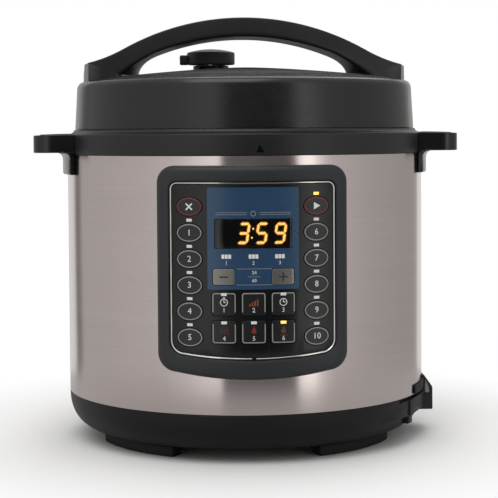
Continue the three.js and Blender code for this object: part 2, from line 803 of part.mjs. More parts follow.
// ---------------------------------------------------------------- collar and side handles
function upperCollar() {
  const skirtR = SPIGOT_R;
  const floorTop = COLLAR_FLOOR_Z + COLLAR_FLOOR_WALL;
  const body = turned([
    [POT_OUTSIDE_R + GAP, COLLAR_FLOOR_Z],
    [skirtR, COLLAR_FLOOR_Z],
    [skirtR, COLLAR_BOTTOM],
    [COLLAR_R, COLLAR_BOTTOM],
    [COLLAR_R, COLLAR_TOP],
    [COLLAR_INNER_R, COLLAR_TOP],
    [COLLAR_INNER_R, floorTop],
    [POT_OUTSIDE_R + GAP, floorTop],
  ]);
  const half = SPOUT_WIDTH / 2;
  const spoutLow = COLLAR_BOTTOM;
  const spout = box(
    [-half, COLLAR_R - SPOUT_WALL, spoutLow],
    [half, SPOUT_END, spoutLow + SPOUT_HEIGHT],
  );
  const channel = box(
    [SPOUT_WALL - half, COLLAR_INNER_R - OVERRUN, spoutLow + SPOUT_WALL],
    [half - SPOUT_WALL, SPOUT_END - SPOUT_WALL, spoutLow + SPOUT_HEIGHT - SPOUT_WALL],
  );
  const drain = box(
    [SPOUT_WALL - half, COLLAR_R + SPOUT_WALL, spoutLow - OVERRUN],
    [half - SPOUT_WALL, SPOUT_END - SPOUT_WALL, spoutLow + SPOUT_WALL + GAP],
  );
  return cut(joined([body, spout]), [channel, drain]);
}

/** A plan between two x values, with round corners at its far end only. */
function handleOutline(nearX, farX, width, wantedCorner) {
  const corner = Math.min(wantedCorner, farX - nearX - GAP);
  const [endX, endY] = [farX - corner, width / 2 - corner];
  const outline = new THREE.Shape();
  outline.moveTo(nearX, -width / 2);
  outline.lineTo(endX, -width / 2);
  outline.absarc(endX, -endY, corner, -Math.PI / 2, 0, false);
  outline.absarc(endX, endY, corner, 0, Math.PI / 2, false);
  outline.lineTo(nearX, width / 2);
  return outline;
}

/** A carrying handle on the collar, with a skirt that runs down over the steel. */
function sideHandle(side) {
  const top = COLLAR_TOP - HANDLE_DROP;
  const bottom = top - HANDLE_HEIGHT;
  const innerX = Math.sqrt(BODY_R ** 2 - (HANDLE_WIDTH / 2) ** 2) - OVERLAP;
  const grip = prism(
    handleOutline(innerX, HANDLE_REACH, HANDLE_WIDTH, HANDLE_CORNER),
    bottom,
    top,
  );
  const skirtHalf = THREE.MathUtils.radToDeg(Math.asin(SKIRT_WIDTH / 2 / SKIRT_REACH));
  const skirt = sector(
    BODY_R,
    SKIRT_REACH,
    RIGHT - skirtHalf,
    RIGHT + skirtHalf,
    bottom - SKIRT_HEIGHT,
    bottom + HANDLE_WALL,
    SKIRT_STEPS,
  );
  const hollow = prism(
    handleOutline(
      SKIRT_REACH + HANDLE_WALL / 2,
      HANDLE_REACH - HANDLE_WALL,
      HANDLE_WIDTH - 2 * HANDLE_WALL,
      HANDLE_CORNER - HANDLE_WALL,
    ),
    bottom - OVERRUN,
    bottom + HANDLE_HOLLOW,
  );
  const handle = cut(joined([grip, skirt]), [
    bar(COLLAR_R + GAP, COLLAR_BOTTOM - GAP, COLLAR_TOP + OVERRUN, ROUND),
    bar(BODY_R + PANEL_GAP, 0, COLLAR_BOTTOM, ROUND),
    hollow,
  ]);
  return side > 0 ? handle : handle.rotate([0, 0, 180]);
}

// ---------------------------------------------------------------- pots and heater
function outerPot() {
  const stemHole = SENSOR_STEM_R + RUN;
  const pot = turned([
    [stemHole, OUTER_POT_FLOOR_Z],
    [POT_OUTSIDE_R, OUTER_POT_FLOOR_Z],
    [POT_OUTSIDE_R, FLANGE_Z],
    [FLANGE_R, FLANGE_Z],
    [FLANGE_R, FLANGE_TOP],
    [OUTER_POT_R, FLANGE_TOP],
    [OUTER_POT_R, POT_FLOOR_TOP],
    [stemHole, POT_FLOOR_TOP],
  ]);
  const lug = sector(
    FLANGE_R - OVERLAP,
    LUG_RING_R,
    -BAYONET_SPAN / 2,
    BAYONET_SPAN / 2,
    FLANGE_Z,
    FLANGE_TOP,
    LUG_STEPS,
  );
  const lugs = upTo(BAYONET_COUNT).map((i) => aimed(lug, (i * 360) / BAYONET_COUNT));
  return joined([pot, ...lugs]);
}

/** Corner points of a quarter round, from straight down to straight out. */
function bottomCorner(radius, low, corner, steps = POT_CORNER_STEPS) {
  return upTo(steps + 1).map((i) => {
    const turn = (i / steps) * (Math.PI / 2);
    return [
      radius - corner + corner * Math.sin(turn),
      low + corner - corner * Math.cos(turn),
    ];
  });
}

function innerPot() {
  const wall = INNER_POT_WALL;
  const rimBottom = INNER_POT_TOP - INNER_POT_RIM_WALL;
  const inside = bottomCorner(
    INNER_POT_R - wall,
    INNER_POT_FLOOR_Z + wall,
    INNER_POT_CORNER - wall,
  ).reverse();
  return turned([
    [0, INNER_POT_FLOOR_Z],
    ...bottomCorner(INNER_POT_R, INNER_POT_FLOOR_Z, INNER_POT_CORNER),
    [INNER_POT_R, rimBottom],
    [INNER_POT_RIM_R, rimBottom],
    [INNER_POT_RIM_R, INNER_POT_TOP],
    [INNER_POT_R - wall, INNER_POT_TOP],
    ...inside,
    [0, INNER_POT_FLOOR_Z + wall],
  ]);
}

function heatingPlate() {
  const low = HEATER_TOP - HEATER_HEIGHT;
  const disc = ring(SENSOR_R + 2 * RUN, HEATER_R, low, HEATER_TOP);
  const legs = upTo(HEATER_LEG_COUNT).map((i) =>
    aimed(
      bar(HEATER_LEG_R, POT_FLOOR_TOP + GAP, low + OVERLAP, PIN_FACETS).translate([
        0,
        -HEATER_LEG_RING_R,
        0,
      ]),
      ((i + 0.5) * 360) / HEATER_LEG_COUNT,
    ),
  );
  return joined([disc, ...legs]);
}

function thermalSensor() {
  const capBottom = HEATER_TOP - SENSOR_CAP_HEIGHT;
  return turned(
    [
      [0, capBottom - SENSOR_STEM_LENGTH],
      [SENSOR_STEM_R, capBottom - SENSOR_STEM_LENGTH],
      [SENSOR_STEM_R, capBottom],
      [SENSOR_R, capBottom],
      [SENSOR_R, HEATER_TOP],
      [0, HEATER_TOP],
    ],
    SMALL_ROUND,
  );
}

/** Coil spring that holds the sensor up against the pot. */
function sensorSpring() {
  const low = POT_FLOOR_TOP + GAP + SPRING_WIRE_R;
  const high = HEATER_TOP - SENSOR_CAP_HEIGHT - GAP - SPRING_WIRE_R;
  class Helix extends THREE.Curve {
    getPoint(t, target = new THREE.Vector3()) {
      const turn = t * SPRING_TURNS * 2 * Math.PI;
      return target.set(
        SPRING_R * Math.cos(turn),
        SPRING_R * Math.sin(turn),
        low + (high - low) * t,
      );
    }
  }
  const wire = new THREE.Shape();
  wire.absarc(0, 0, SPRING_WIRE_R, 0, 2 * Math.PI, false);
  const options = {
    steps: SPRING_TURNS * SPRING_STEPS,
    curveSegments: SPRING_SIDES,
    extrudePath: new Helix(),
    bevelEnabled: false,
  };
  return solidFrom(new THREE.ExtrudeGeometry(wire, options));
}

/** Pressure switch that the floor of the outer pot presses when it bulges. */
function pressureSwitch() {
  const top = OUTER_POT_FLOOR_Z - GAP;
  const half = SWITCH_WIDTH / 2;
  const body = box(
    [SWITCH_R - SWITCH_LENGTH / 2, -half, top - SWITCH_HEIGHT],
    [SWITCH_R + SWITCH_LENGTH / 2, half, top - SWITCH_TAB_WALL / 2],
  );
  const tab = box(
    [SWITCH_R - SWITCH_LENGTH / 2 - SWITCH_TAB, -half, top - SWITCH_TAB_WALL],
    [SWITCH_R + SWITCH_LENGTH / 2 + SWITCH_TAB, half, top],
  );
  return joined([body, tab]);
}

function thermalFuse() {
  const tilt = solidFrom(
    new THREE.CylinderGeometry(FUSE_R, FUSE_R, FUSE_LENGTH, PIN_FACETS).rotateZ(Math.PI / 2),
  );
  return tilt.translate([0, POT_OUTSIDE_R + FUSE_R + GAP, FUSE_Z]);
}

/** Power board on its posts, with the relay, capacitors and heat sink in simple form. */
function powerBoard() {
  const postLow = FOOT_HEIGHT + BASE_WALL + 2 * GAP + BOTTOM_PLATE_WALL;
  const low = postLow + POWER_BOARD_LIFT;
  const [halfX, halfY] = [POWER_BOARD_LENGTH / 2, POWER_BOARD_WIDTH / 2];
  const board = box(
    [-halfX, POWER_BOARD_Y - halfY, low],
    [halfX, POWER_BOARD_Y + halfY, low + BOARD_WALL],
  );
  const posts = [-1, 1].flatMap((i) =>
    [-1, 1].map((j) =>
      bar(POWER_POST_R, postLow, low + BOARD_WALL / 2, PIN_FACETS).translate([
        i * (halfX - 2 * POWER_POST_R),
        POWER_BOARD_Y + j * (halfY - 2 * POWER_POST_R),
        0,
      ]),
    ),
  );
  const parts = POWER_PARTS.map(({ x, y, length, width, height }) =>
    box(
      [x - length / 2, POWER_BOARD_Y + y - width / 2, low + BOARD_WALL / 2],
      [x + length / 2, POWER_BOARD_Y + y + width / 2, low + BOARD_WALL + height],
    ),
  );
  return joined([board, ...posts, ...parts]);
}

// ---------------------------------------------------------------- power inlet
/** The socket's place in the housing: a block of the given margin about the socket. */
function socketBlock(grow, from, to) {
  const outline = roundedRectangle(
    SOCKET_WIDTH + 2 * grow,
    SOCKET_HEIGHT + 2 * grow,
    SOCKET_CORNER + grow,
    0,
    SOCKET_Z,
  );
  return aimed(frontPrism(outline, from, to), RIGHT);
}

function inletHousing() {
  const half = INLET_WIDTH / 2;
  const outline = new THREE.Shape([
    new THREE.Vector2(INLET_INNER_X, INLET_BOTTOM),
    new THREE.Vector2(INLET_REACH, INLET_BOTTOM),
    new THREE.Vector2(INLET_REACH, INLET_FACE_TOP),
    new THREE.Vector2(BODY_R, INLET_FACE_TOP + INLET_ROOF_RISE),
    new THREE.Vector2(INLET_INNER_X, INLET_FACE_TOP + INLET_ROOF_RISE),
  ]);
  const block = frontPrism(outline, -half, half);
  const flange = sector(
    BODY_R - OVERLAP,
    BODY_R + PANEL_GAP + INLET_FLANGE_WALL,
    RIGHT - INLET_FLANGE_SPAN / 2,
    RIGHT + INLET_FLANGE_SPAN / 2,
    BASE_TOP + GAP,
    BASE_TOP + INLET_FLANGE_HEIGHT,
    FLANGE_STEPS,
  );
  return cut(joined([block, flange]), [
    bar(BODY_R + PANEL_GAP, BASE_TOP - GAP, STEEL_TOP, ROUND),
    socketBlock(GAP, INLET_INNER_X - OVERRUN, INLET_REACH + OVERRUN),
  ]);
}

function inletSocket() {
  const face = INLET_REACH - GAP;
  const body = socketBlock(0, face - SOCKET_DEPTH, face);
  const recess = socketBlock(-SOCKET_WALL, face - SOCKET_RECESS, face + OVERRUN);
  const pinBack = face - SOCKET_RECESS - OVERLAP;
  const pins = [-1, 0, 1].map((i) => {
    const y = i * PIN_PITCH;
    const z = SOCKET_Z + (i === 0 ? PIN_OFFSET : -PIN_OFFSET);
    return box(
      [pinBack, y - PIN_WIDTH / 2, z - PIN_HEIGHT / 2],
      [pinBack + OVERLAP + PIN_LENGTH, y + PIN_WIDTH / 2, z + PIN_HEIGHT / 2],
    );
  });
  return joined([body.subtract(recess), ...pins]);
}

// ---------------------------------------------------------------- condensation collector
function condensationCup() {
  const low = CUP_TOP - CUP_HEIGHT;
  const depth = CUP_REACH - CUP_BACK;
  const middle = CUP_BACK + depth / 2;
  const corner = Math.min(CUP_CORNER, (depth - CUP_WALL) / 2);
  const outside = prism(roundedRectangle(CUP_WIDTH, depth, corner, 0, middle), low, CUP_TOP);
  const inside = prism(
    roundedRectangle(
      CUP_WIDTH - 2 * CUP_WALL,
      depth - 2 * CUP_WALL,
      corner - CUP_WALL,
      0,
      middle,
    ),
    low + CUP_WALL,
    CUP_TOP + OVERRUN,
  );
  return outside.subtract(inside);
}

/** Bracket on the back of the housing: a shelf under the cup and a cheek on each side. */
function collectorBracket() {
  const cupLow = CUP_TOP - CUP_HEIGHT;
  const half = CUP_WIDTH / 2 + RUN + BRACKET_WALL;
  const block = box(
    [-half, BODY_R / 2, cupLow - RUN - BRACKET_WALL],
    [half, BRACKET_REACH, cupLow + BRACKET_HEIGHT],
  );
  const room = box(
    [-CUP_WIDTH / 2 - RUN, CUP_BACK - RUN, cupLow - RUN],
    [CUP_WIDTH / 2 + RUN, BRACKET_REACH + OVERRUN, CUP_TOP],
  );
  return cut(block, [bar(BODY_R + PANEL_GAP, 0, STEEL_TOP, ROUND), room]);
}

// ---------------------------------------------------------------- lid
/** Height of the lid's top surface at a radius inside the crown. */
const domeHeight = (r) =>
  LID_CROWN_Z + LID_DOME_RISE * (1 - (r / LID_CROWN_R) ** LID_DOME_CURVE);

/** Outside of the lid from its bottom edge to the axis, moved inwards by an inset. */
function lidCurve(inset) {
  const dome = upTo(LID_DOME_STEPS + 1).map((i) => {
    const r = (LID_CROWN_R * (LID_DOME_STEPS - i)) / LID_DOME_STEPS;
    return [r, domeHeight(r) - inset];
  });
  const corner = upTo(CORNER_STEPS + 1).map((i) => {
    const turn = (i / CORNER_STEPS) * (Math.PI / 2);
    const spread = LID_R - LID_DRAFT - LID_SHOULDER_R;
    return [
      LID_SHOULDER_R + spread * Math.cos(turn) - inset,
      LID_SIDE_TOP + LID_SHOULDER_RISE * Math.sin(turn) - inset * Math.sin(turn),
    ];
  });
  return [[LID_R - inset, LID_BOTTOM], ...corner, ...dome];
}

/** Vertical bar at the place of the steam valve. */
const atValve = (solid) => solid.translate([VALVE_X, VALVE_Y, 0]);

/** Vertical bar at the place of the float valve. */
const atFloat = (solid) => solid.translate([FLOAT_X, FLOAT_Y, 0]);

const plateCentreTop = PLATE_Z + PLATE_DOME_RISE + PLATE_WALL;

function lidCover() {
  const shell = turned([...lidCurve(0), ...lidCurve(LID_WALL).reverse()]);
  const domeTop = domeHeight(0);
  const boss = bar(SCREW_BOSS_R, plateCentreTop + GAP, domeTop - LID_WALL / 2);
  const screwHole = bar(
    SCREW_R + GAP,
    PLATE_Z,
    plateCentreTop + GAP + SCREW_ENGAGEMENT + GAP,
  );
  const guardTop = KNOB_BOTTOM - GUARD_CLEARANCE;
  const guardLow = domeHeight(Math.hypot(VALVE_X, VALVE_Y) + GUARD_R) - LID_WALL / 2;
  return cut(joined([shell, boss, atValve(bar(GUARD_R, guardLow, guardTop))]), [
    screwHole,
    atValve(bar(GUARD_HOLE_R, PLATE_Z, guardTop + OVERRUN)),
    atFloat(bar(FLOAT_HEAD_R + RUN, PLATE_Z, domeTop + OVERRUN)),
  ]);
}

/** Underside of the lid plate at a radius. */
const plateHeight = (r) =>
  PLATE_Z + PLATE_DOME_RISE * (1 - Math.min(r / PLATE_FLAT_R, 1) ** 2);

function lidPlate() {
  const dome = upTo(PLATE_DOME_STEPS + 1).map((i) => (PLATE_FLAT_R * i) / PLATE_DOME_STEPS);
  const rimInner = PLATE_RIM_R - PLATE_RIM_WALL;
  const rimBottom = BAYONET_TOP - BAYONET_WALL;
  const shell = turned([
    ...dome.map((r) => [r, plateHeight(r)]),
    [rimInner, PLATE_Z],
    [rimInner, rimBottom],
    [PLATE_RIM_R, rimBottom],
    [PLATE_RIM_R, PLATE_Z + PLATE_WALL],
    ...dome.map((r) => [r, plateHeight(r) + PLATE_WALL]).reverse(),
  ]);
  const lug = sector(
    BAYONET_INNER_R,
    rimInner + OVERLAP,
    -BAYONET_SPAN / 2,
    BAYONET_SPAN / 2,
    rimBottom,
    BAYONET_TOP,
    LUG_STEPS,
  );
  const lugs = upTo(BAYONET_COUNT).map((i) => aimed(lug, ((i + 0.5) * 360) / BAYONET_COUNT));
  const pads = [atValve, atFloat].map((place) => place(bar(PAD_R, PAD_Z, PLATE_PAD_TOP)));
  return cut(joined([shell, ...lugs, ...pads]), [
    bar(SCREW_R + GAP, 0, ARCH_TOP_Z),
    atValve(bar(VENT_R_OUT + GAP, 0, ARCH_TOP_Z)),
    atFloat(bar(FLOAT_STEM_R + RUN, 0, ARCH_TOP_Z)),
    ...[atValve, atFloat].map((place) => place(bar(PAD_R, 0, PAD_Z))),
    ...[atValve, atFloat].map((place) => place(bar(PAD_R, PLATE_PAD_TOP, ARCH_TOP_Z))),
  ]);
}

/** Silicone ring of C section that seals the lid plate on the rim of the inner pot. */
function sealingRing() {
  const low = INNER_POT_TOP + GAP;
  const high = PLATE_Z - GAP;
  return turned([
    [SEAL_INNER_R, low],
    [SEAL_OUTER_R, low],
    [SEAL_OUTER_R, high],
    [SEAL_INNER_R, high],
    [SEAL_INNER_R, high - SEAL_LIP],
    [SEAL_OUTER_R - SEAL_LIP, (high + low) / 2],
    [SEAL_INNER_R, low + SEAL_LIP],
  ]);
}

function sealRack() {
  const outer = SEAL_INNER_R - GAP;
  return ring(outer - RACK_WALL, outer, PLATE_Z - GAP - RACK_HEIGHT, PLATE_Z - GAP);
}

function lidScrew() {
  const headTop = PLATE_Z + PLATE_DOME_RISE - PLATE_WALL / 2;
  const headLow = headTop - SCREW_HEAD_HEIGHT;
  return turned(
    [
      [0, headLow],
      [SCREW_HEAD_R, headLow],
      [SCREW_HEAD_R, headTop],
      [SCREW_R, headTop],
      [SCREW_R, plateCentreTop + SCREW_ENGAGEMENT],
      [0, plateCentreTop + SCREW_ENGAGEMENT],
    ],
    SMALL_ROUND,
  );
}

function valveKnob() {
  const sideTop = KNOB_BOTTOM + KNOB_SIDE_HEIGHT;
  const socketR = VENT_R_OUT + RUN;
  const knob = turned(
    [
      [0, KNOB_BOTTOM + KNOB_SOCKET_DEPTH],
      [socketR, KNOB_BOTTOM + KNOB_SOCKET_DEPTH],
      [socketR, KNOB_BOTTOM],
      [KNOB_R - KNOB_EDGE, KNOB_BOTTOM],
      [KNOB_R, KNOB_BOTTOM + KNOB_EDGE],
      [KNOB_R, sideTop - KNOB_EDGE],
      [KNOB_R - KNOB_EDGE, sideTop],
      [KNOB_R / 2, sideTop + KNOB_DOME_MIDDLE],
      [0, sideTop + KNOB_DOME],
    ],
    ROUND / 2,
  );
  const tab = box(
    [-KNOB_TAB_REACH, -KNOB_TAB_WIDTH / 2, KNOB_BOTTOM],
    [OVERLAP - KNOB_R, KNOB_TAB_WIDTH / 2, KNOB_BOTTOM + KNOB_TAB_HEIGHT],
  );
  return atValve(knob.add(tab));
}

/** Vent pipe that carries the knob, with a collar that sits on the lid plate. */
function ventPipe() {
  const low = PAD_Z - CAP_HEIGHT / 2;
  const collarLow = PLATE_PAD_TOP + GAP;
  const top = KNOB_BOTTOM + KNOB_SOCKET_DEPTH - GAP;
  return atValve(
    turned(
      [
        [VENT_BORE_R, low],
        [VENT_R_OUT, low],
        [VENT_R_OUT, collarLow],
        [VENT_COLLAR_R, collarLow],
        [VENT_COLLAR_R, collarLow + VENT_COLLAR_HEIGHT],
        [VENT_R_OUT, collarLow + VENT_COLLAR_HEIGHT],
        [VENT_R_OUT, top],
        [VENT_BORE_R, top],
      ],
      SMALL_ROUND,
    ),
  );
}

/** Slotted cap that keeps food out of the vent pipe. */
function antiBlockCap() {
  const top = PAD_Z - GAP;
  const low = top - CAP_HEIGHT;
  const cup = turned(
    [
      [0, low],
      [CAP_R, low],
      [CAP_R, top],
      [CAP_R - CAP_WALL, top],
      [CAP_R - CAP_WALL, low + CAP_WALL],
      [0, low + CAP_WALL],
    ],
    SMALL_ROUND,
  );
  const half = CAP_SLOT_WIDTH / 2;
  const slot = box([-half, -CAP_R - OVERLAP, low + 2 * CAP_WALL], [half, 0, top - 2 * CAP_WALL]);
  return atValve(
    cut(
      cup,
      upTo(CAP_SLOTS).map((i) => aimed(slot, (i * 360) / CAP_SLOTS)),
    ),
  );
}

function floatPin() {
  const headTop = domeHeight(Math.hypot(FLOAT_X, FLOAT_Y)) - FLOAT_RECESS;
  const headLow = headTop - FLOAT_HEAD_HEIGHT;
  const footTop = PAD_Z - GAP - GASKET_WALL - GAP - FLOAT_TRAVEL;
  const footLow = footTop - FLOAT_FOOT_HEIGHT;
  return atFloat(
    turned(
      [
        [0, footLow],
        [FLOAT_FOOT_R, footLow],
        [FLOAT_FOOT_R, footTop],
        [FLOAT_STEM_R, footTop],
        [FLOAT_STEM_R, headLow],
        [FLOAT_HEAD_R, headLow],
        [FLOAT_HEAD_R, headTop],
        [0, headTop],
      ],
      SMALL_ROUND,
    ),
  );
}

const floatGasket = () =>
  atFloat(ring(FLOAT_STEM_R + RUN, GASKET_R, PAD_Z - GAP - GASKET_WALL, PAD_Z - GAP, SMALL_ROUND));

/** Side view of the arched handle, from its feet on the lid over the hand gap. */
function archOutline() {
  const centreZ = ARCH_TOP_Z - ARCH_R;
  const gapCentreZ = ARCH_TOP_Z - ARCH_THICKNESS - ARCH_INNER_R;
  const topTurn = Math.asin(ARCH_SHOULDER_X / ARCH_R);
  const gapTurn = Math.asin((ARCH_GAP_HALF - ARCH_GAP_CORNER) / ARCH_INNER_R);
  const shoulderZ = centreZ + ARCH_R * Math.cos(topTurn);
  const gapZ = gapCentreZ + ARCH_INNER_R * Math.cos(gapTurn);
  const cornerZ = gapZ - Math.tan(gapTurn) * ARCH_GAP_CORNER;
  const footZ = LID_SIDE_TOP;
  const easeX = ARCH_SHOULDER_X + ARCH_EASE;
  const easeZ = shoulderZ - Math.tan(topTurn) * (easeX - ARCH_SHOULDER_X);
  const outline = new THREE.Shape();
  outline.moveTo(ARCH_HALF_REACH, footZ);
  outline.lineTo(ARCH_HALF_REACH, ARCH_END_Z);
  outline.quadraticCurveTo(easeX, easeZ, ARCH_SHOULDER_X, shoulderZ);
  outline.absarc(0, centreZ, ARCH_R, Math.PI / 2 - topTurn, Math.PI / 2 + topTurn, false);
  outline.quadraticCurveTo(-easeX, easeZ, -ARCH_HALF_REACH, ARCH_END_Z);
  outline.lineTo(-ARCH_HALF_REACH, footZ);
  outline.lineTo(-ARCH_GAP_HALF, footZ);
  outline.lineTo(-ARCH_GAP_HALF, cornerZ - ARCH_GAP_CORNER);
  outline.quadraticCurveTo(-ARCH_GAP_HALF, cornerZ, ARCH_GAP_CORNER - ARCH_GAP_HALF, gapZ);
  outline.absarc(0, gapCentreZ, ARCH_INNER_R, Math.PI / 2 + gapTurn, Math.PI / 2 - gapTurn, true);
  outline.quadraticCurveTo(ARCH_GAP_HALF, cornerZ, ARCH_GAP_HALF, cornerZ - ARCH_GAP_CORNER);
  outline.lineTo(ARCH_GAP_HALF, footZ);
  return outline;
}

/** Plan of the handle: waisted in the middle, with ends that follow the round of the lid. */
function handlePlan() {
  const [midHalf, endHalf] = [ARCH_MID_DEPTH / 2, ARCH_END_DEPTH / 2];
  const endX = Math.sqrt(ARCH_PLAN_R ** 2 - endHalf ** 2);
  const turn = Math.asin(endHalf / ARCH_PLAN_R);
  const waist = 2 * midHalf - endHalf;
  const outline = new THREE.Shape();
  outline.moveTo(-endX, -endHalf);
  outline.quadraticCurveTo(0, -waist, endX, -endHalf);
  outline.absarc(0, 0, ARCH_PLAN_R, -turn, turn, false);
  outline.quadraticCurveTo(0, waist, -endX, endHalf);
  outline.absarc(0, 0, ARCH_PLAN_R, Math.PI - turn, Math.PI + turn, false);
  return outline;
}

function lidHandle() {
  const arch = frontPrism(archOutline(), -ARCH_PLAN_R, ARCH_PLAN_R, ARCH_STEPS);
  const lid = turned([
    [0, LID_BOTTOM],
    ...lidCurve(0).map(([r, z]) => [r === 0 ? 0 : r + GAP, z + GAP]),
  ]);
  const plan = prism(handlePlan(), LID_BOTTOM, ARCH_TOP_Z + OVERRUN, ARCH_STEPS);
  return arch.intersect(plan).subtract(lid);
}

// ---------------------------------------------------------------- assembly
const PIECES = [
  ["base_shell", baseShell(), FINISHES.blackPlastic],
  ["bottom_plate", bottomPlate(), FINISHES.steel],
  ...footAzimuths.map((azimuth, i) => [`foot_${i + 1}`, foot(azimuth), FINISHES.rubber]),
  ["steel_housing", steelHousing(), FINISHES.steel],
  ["upper_collar", upperCollar(), FINISHES.blackPlastic],
  ["side_handle_right", sideHandle(1), FINISHES.blackPlastic],
  ["side_handle_left", sideHandle(-1), FINISHES.blackPlastic],
  ["outer_pot", outerPot(), FINISHES.aluminium],
  ["inner_pot", innerPot(), FINISHES.polishedSteel],
  ["heating_plate", heatingPlate(), FINISHES.castAluminium],
  ["thermal_sensor", thermalSensor(), FINISHES.aluminium],
  ["sensor_spring", sensorSpring(), FINISHES.polishedSteel],
  ["pressure_switch", pressureSwitch(), FINISHES.blackPlastic],
  ["thermal_fuse", thermalFuse(), FINISHES.silicone],
  ["power_board", powerBoard(), FINISHES.board],
  ["inlet_housing", inletHousing(), FINISHES.blackPlastic],
  ["inlet_socket", inletSocket(), FINISHES.blackPlastic],
  ["collector_bracket", collectorBracket(), FINISHES.blackPlastic],
  ["condensation_cup", condensationCup(), FINISHES.window],
  ["control_bezel", controlBezel(), FINISHES.satinBlack],
  ["panel_trim", panelTrim(), FINISHES.polishedSteel],
  ["faceplate", faceplate(), FINISHES.panelFilm],
  ["display_window", displayWindow(), FINISHES.window],
  ["display_module", displayModule(), FINISHES.blackPlastic],
  ["control_board", controlBoard(), FINISHES.board],
  ...KEYS.map((key) => [key.name, keyCap(key), key.material]),
  ["lid_cover", lidCover(), FINISHES.blackPlastic],
  ["lid_plate", lidPlate(), FINISHES.aluminium],
  ["sealing_ring", sealingRing(), FINISHES.silicone],
  ["seal_rack", sealRack(), FINISHES.polishedSteel],
  ["lid_screw", lidScrew(), FINISHES.polishedSteel],
  ["lid_handle", lidHandle(), FINISHES.blackPlastic],
  ["valve_knob", valveKnob(), FINISHES.blackPlastic],
  ["vent_pipe", ventPipe(), FINISHES.polishedSteel],
  ["anti_block_cap", antiBlockCap(), FINISHES.polishedSteel],
  ["float_pin", floatPin(), FINISHES.polishedSteel],
  ["float_gasket", floatGasket(), FINISHES.silicone],
];

const cooker = new THREE.Group();
cooker.name = "electric_pressure_cooker";
cooker.position.y = AXIS_Y;
PIECES.forEach(([name, solid, material]) => cooker.add(meshOf(name, solid, material)));

const group = new THREE.Group();
group.add(cooker);
export default group;
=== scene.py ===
"""The looks of an electric pressure cooker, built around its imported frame.

Sizes are in millimetres about the pot's axis, x to the right, y to the back, z up from the worktop.
Each finished mesh is brought into the frame's metres as its last step.
"""

from __future__ import annotations

import json
import logging
import math
from collections.abc import Callable, Iterable, Sequence
from dataclasses import dataclass, field
from enum import Enum

import bmesh
import bpy
from mathutils import Matrix, Vector

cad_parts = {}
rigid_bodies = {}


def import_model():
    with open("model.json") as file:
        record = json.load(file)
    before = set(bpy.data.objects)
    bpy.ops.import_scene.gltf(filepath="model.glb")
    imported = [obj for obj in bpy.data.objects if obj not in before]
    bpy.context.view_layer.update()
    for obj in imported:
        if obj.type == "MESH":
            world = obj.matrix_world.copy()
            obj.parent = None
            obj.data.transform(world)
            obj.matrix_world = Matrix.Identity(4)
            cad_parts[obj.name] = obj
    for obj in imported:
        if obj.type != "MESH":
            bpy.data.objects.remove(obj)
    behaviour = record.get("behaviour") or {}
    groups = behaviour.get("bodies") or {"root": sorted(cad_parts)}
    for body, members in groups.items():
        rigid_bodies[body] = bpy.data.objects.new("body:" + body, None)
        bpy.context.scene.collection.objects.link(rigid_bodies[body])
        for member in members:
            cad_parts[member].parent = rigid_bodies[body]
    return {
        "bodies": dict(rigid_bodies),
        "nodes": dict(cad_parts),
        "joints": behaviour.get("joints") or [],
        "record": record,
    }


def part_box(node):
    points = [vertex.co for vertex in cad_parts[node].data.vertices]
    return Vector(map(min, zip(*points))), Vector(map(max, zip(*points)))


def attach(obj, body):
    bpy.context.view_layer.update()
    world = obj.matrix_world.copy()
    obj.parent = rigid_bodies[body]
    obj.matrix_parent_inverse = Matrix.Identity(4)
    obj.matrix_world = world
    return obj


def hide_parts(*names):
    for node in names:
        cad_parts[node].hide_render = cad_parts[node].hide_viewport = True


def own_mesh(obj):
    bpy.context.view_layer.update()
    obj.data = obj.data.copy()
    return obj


LOG = logging.getLogger("pressure_cooker")
MM = 0.001
WELD = 1e-4  # points nearer than this are one point
SHARP = math.radians(32)  # faces that meet at more than this keep a crisp edge
ROUND = 160  # steps of a full turn on the large round pieces
SMALL_ROUND = 48  # steps of a full turn on bars and holes
LUG_STEPS = 8  # steps of a lug
CORNER_STEPS = 10  # steps of a large round corner
WHITE = (1, 1, 1, 1)  # what surrounds the object where the camera sees past it
KEY_STRIP = 3.0  # the keys and the window are bent in strips this wide
STROKE = (0.02, 0.02, 1.0)  # a brush stroke is fifty times longer round the axis than it is high

Point = tuple[float, float]
Spot = tuple[float, float, float]
Colour = tuple[float, float, float, float]
Points = Sequence[Sequence[float]]
Mesh = bmesh.types.BMesh
Tree = bpy.types.NodeTree
Socket = bpy.types.NodeSocket


def linked(name: str, data: bpy.types.ID) -> bpy.types.Object:
    """Puts new data in the scene as an object."""
    made = bpy.data.objects.new(name, data)
    bpy.context.scene.collection.objects.link(made)
    return made


# ---- finishes
def linear(colour: str) -> Colour:
    """Turns a colour as it is seen into the renderer's linear values.

    Args:
        colour: an sRGB colour such as "#2a2a2c".

    Returns:
        Linear red, green and blue, and an alpha of one.
    """
    shares = [int(colour[i : i + 2], 16) / 255 for i in (1, 3, 5)]
    lifted = [s / 12.92 if s <= 0.04045 else ((s + 0.055) / 1.055) ** 2.4 for s in shares]
    return (*lifted, 1.0)


def add(tree: Tree, kind: str, inputs: dict | None = None, **settings) -> bpy.types.Node:
    """Adds a node with its settings and links.

    Args:
        tree: the node tree that takes the node.
        kind: the node's type name, without the "ShaderNode" that all begin with.
        inputs: each input by name or number, given as a value or as the output that feeds it.
        settings: the node's own options.

    Returns:
        The new node.
    """
    made = tree.nodes.new("ShaderNode" + kind)
    for name, value in settings.items():
        setattr(made, name, value)
    for name, value in (inputs or {}).items():
        if isinstance(value, Socket):
            tree.links.new(value, made.inputs[name])
        else:
            made.inputs[name].default_value = value
    return made


